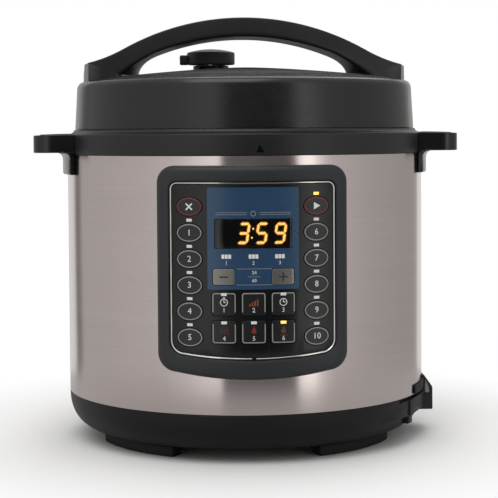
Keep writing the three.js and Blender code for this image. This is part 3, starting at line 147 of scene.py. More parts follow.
def emptied(owner: bpy.types.Material | bpy.types.World) -> Tree:
    """Returns the node tree of a material or a world, with nothing in it."""
    owner.use_nodes = True
    owner.node_tree.nodes.clear()
    return owner.node_tree


class Grain(Enum):
    """How the fine pattern of a surface lies: the same each way, in strokes or in turning rings."""

    EVEN = "even"
    ROUND_THE_AXIS = "round the axis"
    SPUN = "spun"


@dataclass(frozen=True)
class Finish:
    """One surface as it was made.

    The tone and gloss wander a little over the piece, and a fine pattern of the given pitch
    stands proud by the given depth.
    """

    name: str
    colour: str
    roughness: float
    metallic: float = 0.0
    ior: float = 1.5
    pitch: float = 0.6
    depth: float = 0.01
    grain: Grain = Grain.EVEN
    tone: float = 0.12
    gloss: float = 0.05
    patch: float = 18.0
    coat: float = 0.0
    drawn: float = 0.0
    clear: float = 0.0
    glow: float = 0.0

    def material(self) -> bpy.types.Material:
        """Makes the material of the finish the first time it is asked for.

        Returns:
            The material.
        """
        found = bpy.data.materials.get(self.name)
        if found:
            return found
        made = bpy.data.materials.new(self.name)
        tree = emptied(made)
        add(tree, "OutputMaterial", {"Surface": self.shade(tree).outputs["BSDF"]})
        return made

    def place(self, tree: Tree) -> Socket:
        """Adds the nodes that say where a point lies about the pot's axis, stretched to suit the grain.

        Args:
            tree: the material's node tree.

        Returns:
            The output that gives the place, in metres.
        """
        here = add(tree, "TexCoord").outputs["Object"]
        stretch = STROKE if self.grain is Grain.ROUND_THE_AXIS else (1.0, 1.0, 1.0)
        setting = {"Vector": here, "Location": (-Bench.axis.x, -Bench.axis.y, 0), "Scale": stretch}
        about = add(tree, "Mapping", setting).outputs["Vector"]
        if self.grain is not Grain.SPUN:
            return about
        parts = add(tree, "SeparateXYZ", {"Vector": about})
        flat = add(tree, "CombineXYZ", {"X": parts.outputs["X"], "Y": parts.outputs["Y"]})
        reach = add(tree, "VectorMath", {0: flat.outputs["Vector"]}, operation="LENGTH")
        rings = {"X": reach.outputs["Value"], "Z": parts.outputs["Z"]}
        return add(tree, "CombineXYZ", rings).outputs["Vector"]

    def shade(self, tree: Tree) -> bpy.types.Node:
        """Builds the nodes of the finish.

        Args:
            tree: the material's empty node tree.

        Returns:
            The shader node.
        """
        place = self.place(tree)
        fine, broad = (
            add(tree, "TexNoise", {"Vector": place, "Scale": 1 / (size * MM), "Detail": detail})
            for size, detail in ((self.pitch, 2.0), (self.patch, 3.0))
        )
        both = add(tree, "Math", {0: fine.outputs["Fac"], 1: broad.outputs["Fac"]}, operation="ADD")
        sum_of_both = both.outputs[0]
        dark, light = (
            tuple(min(1.0, c * (1 + side * self.tone)) for c in linear(self.colour)[:3]) + (1.0,)
            for side in (-1, 1)
        )
        colour = self.two_tone(tree, self.spread(tree, sum_of_both), dark, light)
        rough = self.spread(
            tree, sum_of_both, max(0.02, self.roughness - self.gloss), min(1.0, self.roughness + self.gloss)
        )
        bump = add(tree, "Bump", {"Height": fine.outputs["Fac"], "Distance": self.depth * MM})
        shader = add(
            tree,
            "BsdfPrincipled",
            {
                "Base Color": colour, "Roughness": rough, "Metallic": self.metallic,
                "Normal": bump.outputs["Normal"], "Coat Weight": self.coat, "Anisotropic": self.drawn,
                "Transmission Weight": self.clear,
            },
        )
        if self.metallic < 0.5:
            shader.inputs["IOR"].default_value = self.ior
        if self.drawn:
            run = add(tree, "Tangent", direction_type="UV_MAP")
            tree.links.new(run.outputs["Tangent"], shader.inputs["Tangent"])
        if self.glow:
            shader.inputs["Emission Color"].default_value = linear(self.colour)
            shader.inputs["Emission Strength"].default_value = self.glow
        return shader

    @staticmethod
    def spread(tree: Tree, both: Socket, low: float = 0.0, high: float = 1.0) -> Socket:
        """Spreads the sum of the two noises, which lies near 1, from low to high."""
        limits = {"From Min": 0.6, "From Max": 1.4, "To Min": low, "To Max": high}
        return add(tree, "MapRange", {"Value": both, **limits}).outputs["Result"]

    @staticmethod
    def two_tone(tree: Tree, share: Socket, dark: Colour, light: Colour) -> Socket:
        """Blends two colours by a share from 0 to 1 and returns the output that holds the blend."""
        ramp = add(tree, "ValToRGB", {"Fac": share})
        for stop, colour in zip(ramp.color_ramp.elements, (dark, light)):
            stop.color = colour
        return ramp.outputs["Color"]


# ---- mesh tools
def eased(start: Vector, bend: Vector, end: Vector, steps: int) -> list[Vector]:
    """Returns points of a curve that leaves its start and reaches its end along lines to the bend."""
    shares = [i / steps for i in range(steps + 1)]
    return [start * (1 - t) ** 2 + bend * (2 * t * (1 - t)) + end * t**2 for t in shares]


def rounded(corners: Points, steps: int = 5, closed: bool = True) -> list[Vector]:
    """Rounds the corners of a line.

    Args:
        corners: each corner's coordinates, and last how far from it the round begins.
        steps: facets of each round.
        closed: whether the line runs on from its last corner to its first.

    Returns:
        The points of the rounded line.
    """
    points = []
    count = len(corners)
    for i, (*place, reach) in enumerate(corners):
        here = Vector(place)
        if not reach or (not closed and i in (0, count - 1)):
            points.append(here)
            continue
        before, after = Vector(corners[i - 1][:-1]), Vector(corners[(i + 1) % count][:-1])
        start = here + (before - here).normalized() * reach
        end = here + (after - here).normalized() * reach
        points += eased(start, here, end, steps)
    return points


def quarter(steps: int) -> list[float]:
    """Returns the angles of a quarter turn in equal steps, with both ends."""
    return [math.pi / 2 * i / steps for i in range(steps + 1)]


def band(near: float, far: float, low: float, high: float) -> list[Point]:
    """Returns a rectangular profile between two radii and two heights."""
    return [(near, low), (far, low), (far, high), (near, high)]


def arc(centre: Point, radius: Point, start: float, end: float, steps: int) -> list[Vector]:
    """Returns points of a round or oval arc, its two radii in millimetres and its turns in degrees."""
    turns = [math.radians(start + (end - start) * i / steps) for i in range(steps + 1)]
    return [Vector((centre[0] + radius[0] * math.cos(t), centre[1] + radius[1] * math.sin(t))) for t in turns]


def rectangle(width: float, height: float, corner: float, x: float = 0.0, y: float = 0.0) -> list[Vector]:
    """Returns a rectangle with round corners, centred on x and y."""
    w, h = width / 2, height / 2
    corners = [(x - w, y - h, corner), (x + w, y - h, corner), (x + w, y + h, corner), (x - w, y + h, corner)]
    return rounded(corners, 5)


def settled(mesh: Mesh) -> Mesh:
    """Merges doubles and turns every face outwards."""
    bmesh.ops.remove_doubles(mesh, verts=mesh.verts, dist=WELD)
    bmesh.ops.dissolve_degenerate(mesh, edges=mesh.edges, dist=WELD)
    bmesh.ops.recalc_face_normals(mesh, faces=mesh.faces)
    return mesh


def line(mesh: Mesh, points: Points, closed: bool) -> list[bmesh.types.BMEdge]:
    """Draws a line of points in a mesh and returns its edges in order."""
    verts = [mesh.verts.new(p) for p in points]
    pairs = list(zip(verts, verts[1:])) + ([(verts[-1], verts[0])] if closed else [])
    return [mesh.edges.new(pair) for pair in pairs]


def turned(profile: Points, steps: int = ROUND, start: float = 0.0, sweep: float = 360.0) -> Mesh:
    """Turns a profile about the pot's axis.

    Args:
        profile: points of radius and height. It closes on itself, or starts and ends on the axis.
        steps: facets of the turn.
        start: azimuth of its start in degrees, from the front towards the right.
        sweep: degrees of the turn.

    Returns:
        The closed mesh.
    """
    mesh = bmesh.new()
    on_axis = abs(profile[0][0]) < WELD and abs(profile[-1][0]) < WELD
    edges = line(mesh, [(r, 0, z) for r, z in profile], not on_axis)
    whole = sweep >= 360
    bmesh.ops.spin(
        mesh, geom=list(mesh.verts) + edges, axis=(0, 0, 1), angle=math.radians(sweep), steps=steps,
        use_merge=whole,
    )
    if not whole:
        bmesh.ops.remove_doubles(mesh, verts=mesh.verts, dist=WELD)
        bmesh.ops.holes_fill(mesh, edges=[e for e in mesh.edges if e.is_boundary], sides=0)
    return settled(moved(mesh, azimuth=start - 90))


def skinned(rows: Sequence[Points], ring: bool = False, capped: bool = True) -> Mesh:
    """Stretches a skin over loops that all have the same number of points.

    Args:
        rows: the loops, one after the other.
        ring: whether the skin runs on from the last loop to the first.
        capped: whether the first and last loops are filled.

    Returns:
        The closed mesh.
    """
    mesh = bmesh.new()
    loop = line(mesh, rows[0], True)
    verts = [loop[i].verts[0] for i in range(len(loop))]
    for row in list(rows[1:]) + ([rows[0]] if ring else []):
        made = bmesh.ops.extrude_edge_only(mesh, edges=loop)["geom"]
        fresh = {g for g in made if isinstance(g, bmesh.types.BMVert)}
        verts = [next(e.other_vert(v) for e in v.link_edges if e.other_vert(v) in fresh) for v in verts]
        for vert, point in zip(verts, row):
            vert.co = point
        loop = [g for g in made if isinstance(g, bmesh.types.BMEdge) and set(g.verts) <= fresh]
    if capped and not ring:
        bmesh.ops.holes_fill(mesh, edges=[e for e in mesh.edges if e.is_boundary], sides=0)
    return settled(mesh)


def prism(outline: Points, low: float, high: float) -> Mesh:
    """Pushes a flat outline of x and y up.

    Args:
        outline: its points.
        low: the height that it starts at.
        high: the height that it ends at.

    Returns:
        The closed mesh.
    """
    mesh = bmesh.new()
    face = mesh.faces.new([mesh.verts.new((p[0], p[1], low)) for p in outline])
    made = bmesh.ops.extrude_face_region(mesh, geom=[face])["geom"]
    top = [g for g in made if isinstance(g, bmesh.types.BMVert)]
    bmesh.ops.translate(mesh, verts=top, vec=(0, 0, high - low))
    return settled(mesh)


def fronted(outline: Points, near: float, far: float) -> Mesh:
    """Pushes an outline of x and z out to the front, between two distances from the axis."""
    mesh = prism(outline, near, far)
    bmesh.ops.rotate(mesh, verts=mesh.verts, matrix=Matrix.Rotation(math.pi / 2, 3, "X"))
    return mesh


def block(low: Sequence[float], high: Sequence[float]) -> Mesh:
    """Makes a box, for other operators to shape.

    Args:
        low: its low corner.
        high: its high corner.

    Returns:
        Its mesh.
    """
    mesh = bmesh.new()
    size = Vector(high) - Vector(low)
    bmesh.ops.create_cube(mesh, size=1.0)
    bmesh.ops.scale(mesh, verts=mesh.verts, vec=size)
    bmesh.ops.translate(mesh, verts=mesh.verts, vec=(Vector(high) + Vector(low)) / 2)
    return mesh


def moved(mesh: Mesh, by: Sequence[float] = (0, 0, 0), azimuth: float = 0.0) -> Mesh:
    """Shifts a mesh, then turns it about the pot's axis by degrees."""
    bmesh.ops.translate(mesh, verts=mesh.verts, vec=by)
    turn = Matrix.Rotation(math.radians(azimuth), 3, "Z")
    bmesh.ops.rotate(mesh, verts=mesh.verts, matrix=turn)
    return mesh


def softened(
    mesh: Mesh, width: float, segments: int = 2, picked: Callable[[Vector], bool] = lambda middle: True
) -> Mesh:
    """Rounds the crisp edges of a mesh.

    Args:
        mesh: the mesh, which is changed.
        width: how far the round reaches on either side.
        segments: facets of the round.
        picked: tells whether an edge is rounded, from its middle.

    Returns:
        The same mesh.
    """
    edges = [
        e
        for e in mesh.edges
        if e.is_manifold and e.calc_face_angle(0) > SHARP and picked((e.verts[0].co + e.verts[1].co) / 2)
    ]
    bmesh.ops.bevel(
        mesh, geom=edges, offset=width, offset_type="OFFSET", affect="EDGES", segments=segments,
        profile=0.5, material=-1, clamp_overlap=True,
    )
    return mesh


def together(*meshes: Mesh) -> Mesh:
    """Puts several meshes in the first.

    Args:
        meshes: the meshes; all but the first are used up.

    Returns:
        The first.
    """
    first = meshes[0]
    for other in meshes[1:]:
        data = bpy.data.meshes.new("passing")
        other.to_mesh(data)
        first.from_mesh(data)
        bpy.data.meshes.remove(data)
        other.free()
    return first


def carved(mesh: Mesh, *tools: Mesh, operation: str = "DIFFERENCE") -> Mesh:
    """Cuts tools out of a mesh, or joins them to it.

    Args:
        mesh: the mesh that is cut.
        tools: the meshes that cut it, which are used up.
        operation: DIFFERENCE or UNION.

    Returns:
        The new mesh.
    """
    made = [linked("passing", bpy.data.meshes.new("passing")) for _ in range(1 + len(tools))]
    for item, source in zip(made, (mesh, *tools)):
        source.to_mesh(item.data)
        source.free()
    for tool in made[1:]:
        change = made[0].modifiers.new("cut", "BOOLEAN")
        change.operation, change.solver, change.object = operation, "EXACT", tool
    graph = bpy.context.evaluated_depsgraph_get()
    result = bmesh.new()
    result.from_mesh(made[0].evaluated_get(graph).to_mesh())
    for item in made:
        data = item.data
        bpy.data.objects.remove(item)
        bpy.data.meshes.remove(data)
    return settled(result)


def striped(mesh: Mesh, step: float) -> Mesh:
    """Cuts a mesh into upright strips, so that its wide faces can be curved."""
    reach = max(abs(v.co.x) for v in mesh.verts)
    for i in range(-int(reach / step), int(reach / step) + 1):
        geometry = list(mesh.verts) + list(mesh.edges) + list(mesh.faces)
        bmesh.ops.bisect_plane(mesh, geom=geometry, plane_co=(i * step, 0, 0), plane_no=(1, 0, 0), dist=WELD)
    return mesh


def wrapped(mesh: Mesh, at: float) -> Mesh:
    """Bends a flat mesh round the axis.

    Args:
        mesh: the flat mesh, each point as far in front as the radius it goes to.
        at: the radius on which widths keep their size.

    Returns:
        The same mesh.
    """
    for vert in mesh.verts:
        turn, radius = math.asin(vert.co.x / at), -vert.co.y
        vert.co.x, vert.co.y = radius * math.sin(turn), -radius * math.cos(turn)
    return mesh


def around(outline: Iterable[Vector], at: float, azimuth: float, rise: float) -> list[Vector]:
    """Moves a flat outline to an azimuth and up, as it looks from the front on a round of radius at."""
    turn = math.radians(azimuth)
    return [Vector((at * math.sin(turn + math.asin(p.x / at)), p.y + rise)) for p in outline]


def painted(mesh: Mesh, index: int) -> Mesh:
    """Gives all faces of a mesh one of its piece's finishes, by number."""
    for face in mesh.faces:
        face.material_index = index
    return mesh


def lettered(text: str, height: float, x: float, z: float, near: float, far: float) -> Mesh:
    """Makes plain numbers as a raised print on the front.

    Args:
        text: the numbers.
        height: height of a figure.
        x: middle across.
        z: middle height.
        near: distance from the axis of the back of the print.
        far: distance of its face.

    Returns:
        The mesh of the print.
    """
    curve = bpy.data.curves.new("passing", "FONT")
    curve.body, curve.align_x, curve.align_y = text, "CENTER", "CENTER"
    curve.size, curve.resolution_u = height / 0.72, 2
    curve.extrude = (far - near) / 2
    item = linked("passing", curve)
    mesh = bmesh.new()
    mesh.from_mesh(item.evaluated_get(bpy.context.evaluated_depsgraph_get()).to_mesh())
    bpy.data.objects.remove(item)
    bpy.data.curves.remove(curve)
    bmesh.ops.rotate(mesh, verts=mesh.verts, matrix=Matrix.Rotation(math.pi / 2, 3, "X"))
    return moved(settled(mesh), (x, -(near + far) / 2, z))


def ring_of_lugs(profile: list[Point], count: int, span: float, first: float = 0.0) -> list[Mesh]:
    """Turns a ring of equal lugs about the pot's axis.

    Args:
        profile: the profile of a lug.
        count: how many there are.
        span: how many degrees each takes up.
        first: the azimuth of the middle of the first.

    Returns:
        The mesh of each lug.
    """
    starts = [first + i * 360 / count - span / 2 for i in range(count)]
    return [softened(turned(profile, LUG_STEPS, start, span), 0.6) for start in starts]


# ---- the frame
class Bench:
    """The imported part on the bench: where its pieces are, and how new ones join them."""

    axis: Vector = Vector((0, 0, 0))

    def __init__(self) -> None:
        """Loads the frame and finds the pot's axis in it."""
        self.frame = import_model()
        low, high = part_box("inner_pot")
        Bench.axis = Vector(((low.x + high.x) / 2, (low.y + high.y) / 2, 0))

    def box(self, node: str) -> tuple[Vector, Vector]:
        """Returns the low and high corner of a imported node, in millimetres about the pot's axis."""
        low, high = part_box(node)
        return (low - self.axis) / MM, (high - self.axis) / MM

    def piece(
        self, name: str, mesh: Mesh, finish: Finish | Sequence[Finish], slot: str, *nodes: str,
        body: str = "housing", drawn: bool = False,
    ) -> bpy.types.Object:
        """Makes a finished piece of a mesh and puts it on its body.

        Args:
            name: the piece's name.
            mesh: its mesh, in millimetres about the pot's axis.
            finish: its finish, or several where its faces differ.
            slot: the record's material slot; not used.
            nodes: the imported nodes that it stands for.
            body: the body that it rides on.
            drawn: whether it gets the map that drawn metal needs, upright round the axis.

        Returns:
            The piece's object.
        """
        data = bpy.data.meshes.new(name)
        if drawn:
            self.upright(mesh)
        for face in mesh.faces:
            face.smooth = True
        mesh.transform(Matrix.Translation(self.axis) @ Matrix.Scale(MM, 4))
        mesh.to_mesh(data)
        mesh.free()
        data.set_sharp_from_angle(angle=SHARP)
        finishes = [finish] if isinstance(finish, Finish) else finish
        for each in finishes:
            data.materials.append(each.material())
        made = linked(name, data)
        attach(made, body)
        if nodes:
            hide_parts(*nodes)
        LOG.info("%s: %d faces", name, len(data.polygons))
        return made

    @staticmethod
    def upright(mesh: Mesh) -> None:
        """Maps a mesh by height first and by its way round the axis second."""
        layer = mesh.loops.layers.uv.new("upright")
        for face in mesh.faces:
            for loop in face.loops:
                point = loop.vert.co
                loop[layer].uv = (point.z * MM, math.atan2(point.x, -point.y) * point.xy.length * MM)

    def dress(self, finish: Finish, *nodes: str) -> None:
        """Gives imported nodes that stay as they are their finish."""
        for node in nodes:
            data = self.frame["nodes"][node].data
            data.materials.clear()
            data.materials.append(finish.material())
            LOG.info("%s: dressed", node)


# Injection-moulded polypropylene with a fine spark-eroded texture: a soft, even sheen without mirror spots.
BODY_BLACK = Finish("polypropylene_moulded_black", "#0f0e10", 0.42, pitch=1.1, depth=0.03, tone=0.1)
# The same plastic from a polished mould: a clearer sheen on the lid's shoulder and side, and a colour lighter
# than the body's as painted reflection of the light from above.
LID_SMOOTH_SHEEN = Finish("polypropylene_polished_painted_sheen", "#1a181a", 0.25, pitch=2.4, depth=0.003, tone=0.04)
# The lid's top has a coarser grain and the body's own colour, so it stays darker than the shoulder, which is
# painted lighter.
LID_GRAINED = Finish(
    "polypropylene_moulded_grained", "#0f0e10", 0.66, ior=1.4, pitch=0.8, depth=0.035, tone=0.14
)
# Glass-filled nylon of the lid handle: satin, with faint flow marks.
HANDLE_BLACK = Finish("nylon_moulded_black", "#2a282a", 0.3, pitch=1.3, depth=0.008, patch=40.0, tone=0.1)
# Satin ABS round the panel: slightly lighter and cooler than the body.
BEZEL_SATIN = Finish("abs_satin_charcoal", "#1c1f23", 0.5, pitch=0.7, depth=0.03, tone=0.06, patch=30.0)
# Hard-coated polycarbonate film: nearly black, with a clear gloss over a faint texture.
PANEL_FILM = Finish("polycarbonate_film_black", "#08080a", 0.24, ior=1.46, pitch=0.8, depth=0.004)
# The ink under the film keeps its colour even, and the film's gloss lies over it.
FIELD_INK = Finish("screen_print_blue", "#25425f", 0.26, pitch=0.8, depth=0.002, tone=0.015)
WHITE_INK = Finish("screen_print_white", "#dcdedc", 0.4, pitch=0.5, depth=0.008, tone=0.04)
GREY_INK = Finish("screen_print_grey", "#8e8f8a", 0.4, pitch=0.5, depth=0.008, tone=0.05)
RED_INK = Finish("screen_print_red", "#7a2420", 0.4, pitch=0.5, depth=0.008, tone=0.06)
ORANGE_INK = Finish("screen_print_orange", "#8f4c26", 0.4, pitch=0.5, depth=0.008, tone=0.06)
BROWN_INK = Finish("screen_print_brown", "#5a3724", 0.4, pitch=0.5, depth=0.008, tone=0.06)
KEY_BLACK = Finish("abs_key_black", "#131416", 0.34, pitch=0.8, depth=0.006, tone=0.08)
# The base is moulded in a plainer, duller grade of the same plastic.
BASE_BLACK = Finish("polypropylene_moulded_base", "#0b0a0b", 0.44, ior=1.38, pitch=1.1, depth=0.02, tone=0.1)
# The grips come from a polished mould, so their edges catch the light.
GRIP_BLACK = Finish("polypropylene_moulded_grip", "#100f10", 0.2, pitch=1.4, tone=0.08)
# Near-black matt paint in the collar's cut-in mark: painted shade of the recess, flat and darker than the
# plastic round it.
RECESS_SHADE_BLACK = Finish("recess_painted_shade_black", "#040404", 0.9, ior=1.2, tone=0.05)
# The knob is sandblasted: an even, slightly lighter black.
KNOB_BLACK = Finish("nylon_sandblasted_black", "#555457", 0.58, pitch=0.9, depth=0.05, tone=0.1)
# Vacuum-metallised ABS: champagne silver with a soft reflection.
KEY_SILVER = Finish(
    "abs_metallised_champagne", "#8d8b86", 0.3, metallic=0.85, pitch=0.4, depth=0.006, tone=0.04
)
# The gussets at the sides of the inlet's hood carry light grey plates: a painted sheen where the hood's
# slanted sides catch the light.
PAINTED_SHEEN_GREY = Finish("abs_painted_sheen_grey", "#8d8c8e", 0.42, pitch=0.9, depth=0.02, tone=0.08)
KEY_GLYPH = Finish("screen_print_dark", "#2b2724", 0.45, pitch=0.5, depth=0.008, tone=0.05)
# Brushed 430 stainless steel: the strokes run round the body and draw highlights out upright.
BRUSHED_STEEL = Finish(
    "stainless_brushed", "#cfc5c3", 0.19, metallic=1.0, pitch=0.9, depth=0.0025, grain=Grain.ROUND_THE_AXIS,
    tone=0.035, gloss=0.02, drawn=0.85,
)
# Electroplated edge strip: bright, with small waves.
CHROME_TRIM = Finish("abs_chromed", "#d9d8d4", 0.14, metallic=1.0, pitch=6.0, tone=0.03)
# Spun and polished 304 stainless steel: fine turning rings.
SPUN_STEEL = Finish(
    "stainless_spun", "#cfcbc6", 0.22, metallic=1.0, pitch=1.0, depth=0.006, grain=Grain.SPUN, tone=0.04
)
# Deep-drawn aluminium: greyer and softer than steel, with turning rings.
SPUN_ALUMINIUM = Finish(
    "aluminium_spun", "#b9babb", 0.34, metallic=1.0, pitch=1.4, grain=Grain.SPUN, tone=0.05
)
CAST_ALUMINIUM = Finish("aluminium_cast", "#a2a3a4", 0.5, metallic=1.0, pitch=1.6, depth=0.06, tone=0.08)
# Hot-dip zinc on sheet steel: dull grey with broad crystal patches.
ZINC_SHEET = Finish("steel_zinc_sheet", "#9da0a1", 0.42, metallic=1.0, pitch=7.0)
SPRING_WIRE = Finish("spring_steel_wire", "#a9a6a1", 0.28, metallic=1.0, pitch=0.5, depth=0.004, tone=0.05)
# Matt rubber feet: they take almost no highlight.
RUBBER = Finish("rubber_moulded_black", "#131313", 0.75, pitch=0.8, depth=0.05)
# Translucent food-grade silicone: milky, with a soft skin.
SILICONE = Finish("silicone_moulded_clear", "#c9c8c0", 0.42, ior=1.41, pitch=1.2, clear=0.25)
SLEEVE = Finish("silicone_sleeving_white", "#d4d2c8", 0.6, ior=1.41, pitch=0.8, depth=0.03)
# Clear styrene acrylonitrile: see-through with a faint haze.
CUP_CLEAR = Finish(
    "styrene_acrylonitrile_clear", "#e6e9e8", 0.08, ior=1.57, pitch=5.0, tone=0.02, clear=0.92
)
# Smoked polycarbonate in front of the figures: black until a light shines through.
WINDOW_SMOKED = Finish(
    "polycarbonate_smoked", "#3a3634", 0.05, pitch=4.0, depth=0.003, tone=0.03, gloss=0.02, clear=1.0
)
# Phenolic housing of the figures: dull black.
DISPLAY_BLACK = Finish("phenolic_matt_black", "#0a0a0b", 0.7, pitch=0.8, depth=0.02, tone=0.1)
LIT_SEGMENT = Finish("led_lit_amber", "#ffdc78", 0.5, depth=0.004, tone=0.05, glow=30.0)
LIT_HALO = Finish("led_spill_orange", "#c07208", 0.6, depth=0.004, tone=0.15, glow=5.5)
DARK_SEGMENT = Finish("led_unlit_red", "#2a0b08", 0.5, depth=0.004, tone=0.1)
LIT_MARK = Finish("led_window_amber", "#ffc860", 0.5, depth=0.004, tone=0.05, glow=1.0)
# Glass-fibre laminate with solder mask.
BOARD_GREEN = Finish("glass_fibre_board_green", "#23573a", 0.38, ior=1.55, pitch=1.1, depth=0.02, tone=0.15)


# ---- base and steel wall
@dataclass
class Housing:
    """The moulded base with its feet, and the steel wall above it."""

    bench: Bench
    wall_r: float = 138.0
    wall: float = 0.8
    wall_low: float = 36.6
    wall_high: float = 219.0
    wall_edge: float = 0.35
    base_top: float = 36.3
    base_low: float = 8.0
    base_wall: float = 2.6
    flat_r: float = 112.0
    lip_r: float = 94.0
    bowl_power: float = 2 / 2.35
    bowl_steps: int = 26
    rim_edge: float = 0.6
    spigot_r: float = 136.9
    spigot_high: float = 43.7
    foot_rs: Point = (104.0, 116.0)
    foot_high: float = 7.7
    foot_span: float = 41.0
    foot_edge: float = 1.4
    foot_azimuths: tuple[float, ...] = (-50.3, 45.7, 129.7, -134.3)
    boss_azimuth: float = 67.4
    boss_low: Spot = (-17.9, -138.1, 22.0)
    boss_high: Spot = (23.8, -122.2, 33.8)
    block_edge: float = 0.8
    arm_low: float = 22.0
    arm_depth: float = 8.0
    arm_azimuth: float = 40.0
    arm_end: float = 63.0
    arm_steps: int = 20
    arm_sunk: float = 3.6
    arm_swell: float = 0.625
    arm_edge: float = 0.4
    gap_azimuth: float = 53.0
    gap_end: float = 80.0
    gap_depth: float = 3.0
    lug_azimuth: float = 61.5
    lug_low: Spot = (-3.5, -137.4, 15.6)
    lug_high: Spot = (5.0, -120.0, 24.0)
    notch_low: Spot = (127.7, -24.3, 18.2)
    notch_high: Spot = (150.0, 24.3, 60.0)

    def build(self, opening: Mesh) -> None:
        """Builds the base, the feet and the wall.

        Args:
            opening: what is cut from the wall behind the panel.
        """
        self.base()
        self.feet()
        self.steel(opening)
        self.bench.dress(ZINC_SHEET, "bottom_plate")

    def bowl(self, inset: float) -> list[Point]:
        """Draws the curve of the bowl from its flat underside up to its rim.

        Args:
            inset: how far inside the outer face it lies.

        Returns:
            Points of radius and height.
        """
        reach, rise = self.wall_r - self.flat_r - inset, self.base_top - self.base_low - inset
        return [
            (
                self.flat_r + reach * math.sin(t) ** self.bowl_power,
                self.base_top - rise * max(math.cos(t), 0.0) ** self.bowl_power,
            )
            for t in quarter(self.bowl_steps)
        ]

    def base(self) -> None:
        """Turns the bowl and joins the boss and the lug to it."""
        inner_r = self.spigot_r - self.base_wall
        inside = [(min(r, inner_r), z) for r, z in reversed(self.bowl(self.base_wall)[:-1])]
        profile = [
            (self.lip_r, self.base_low), *self.bowl(0.0)[:-1], (self.wall_r, self.base_top - self.rim_edge),
            (self.wall_r - self.rim_edge, self.base_top), (self.spigot_r, self.base_top),
            (self.spigot_r, self.spigot_high - self.rim_edge),
            (self.spigot_r - self.rim_edge, self.spigot_high), (inner_r, self.spigot_high), *inside,
            (self.lip_r, self.base_low + self.base_wall),
        ]
        boss = softened(block(self.boss_low, self.boss_high), self.block_edge)
        lug = softened(block(self.lug_low, self.lug_high), self.block_edge)
        joined = [moved(boss, azimuth=self.boss_azimuth), moved(lug, azimuth=self.lug_azimuth)]
        mesh = carved(turned(profile), self.gap())
        mesh = carved(mesh, softened(self.arm(), self.arm_edge), *joined, operation="UNION")
        mesh = carved(mesh, block(self.notch_low, self.notch_high))
        self.bench.piece("base_bowl", mesh, BASE_BLACK, "black_plastic", "base_shell")

    def arm(self) -> Mesh:
        """Skins the part of the rim that swells out of the bowl and runs on to the boss.

        Returns:
            Its mesh.
        """
        rows = []
        for i in range(self.arm_steps + 1):
            t = i / self.arm_steps
            reach = self.wall_r - self.arm_sunk * (1 - min(1.0, t / self.arm_swell)) ** 2
            azimuth = math.radians(self.arm_azimuth + (self.arm_end - self.arm_azimuth) * t)
            row = band(self.wall_r - self.arm_depth, reach, self.arm_low, self.boss_high[2])
            rows.append([(r * math.sin(azimuth), -r * math.cos(azimuth), z) for r, z in row])
        return skinned(rows)

    def gap(self) -> Mesh:
        """Returns what is cut from the rim above the boss."""
        low, high = self.boss_high[2], self.base_top + 0.2
        profile = band(self.wall_r - self.gap_depth, self.wall_r + 2, low, high)
        return turned(profile, 24, self.gap_azimuth, self.gap_end - self.gap_azimuth)

    def feet(self) -> None:
        """Turns the four feet."""
        near, far = self.foot_rs
        edge, high = self.foot_edge, self.foot_high
        profile = rounded([(near, 0, edge), (far, 0, edge), (far, high, 0), (near, high, 0)])
        for i, azimuth in enumerate(self.foot_azimuths):
            start = azimuth - self.foot_span / 2
            mesh = softened(turned(profile, 24, start, self.foot_span), self.foot_edge)
            self.bench.piece(f"foot_pad_{i + 1}", mesh, RUBBER, "rubber", self.foot_near(mesh))

    def foot_near(self, mesh: Mesh) -> str:
        """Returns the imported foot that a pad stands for."""
        middle = sum((v.co for v in mesh.verts), Vector()) / len(mesh.verts)
        names = [f"foot_{i}" for i in range(1, 5)]
        return min(names, key=lambda name: (sum(self.bench.box(name), Vector()) / 2 - middle).length)

    def steel(self, opening: Mesh) -> None:
        """Turns the wall and cuts the opening behind the panel."""
        sheet = band(self.wall_r - self.wall, self.wall_r, self.wall_low, self.wall_high)
        profile = rounded([(r, z, self.wall_edge) for r, z in sheet], 3)
        mesh = carved(turned(profile, 2 * ROUND), opening)
        self.bench.piece("steel_wall", mesh, BRUSHED_STEEL, "brushed_steel", "steel_housing", drawn=True)


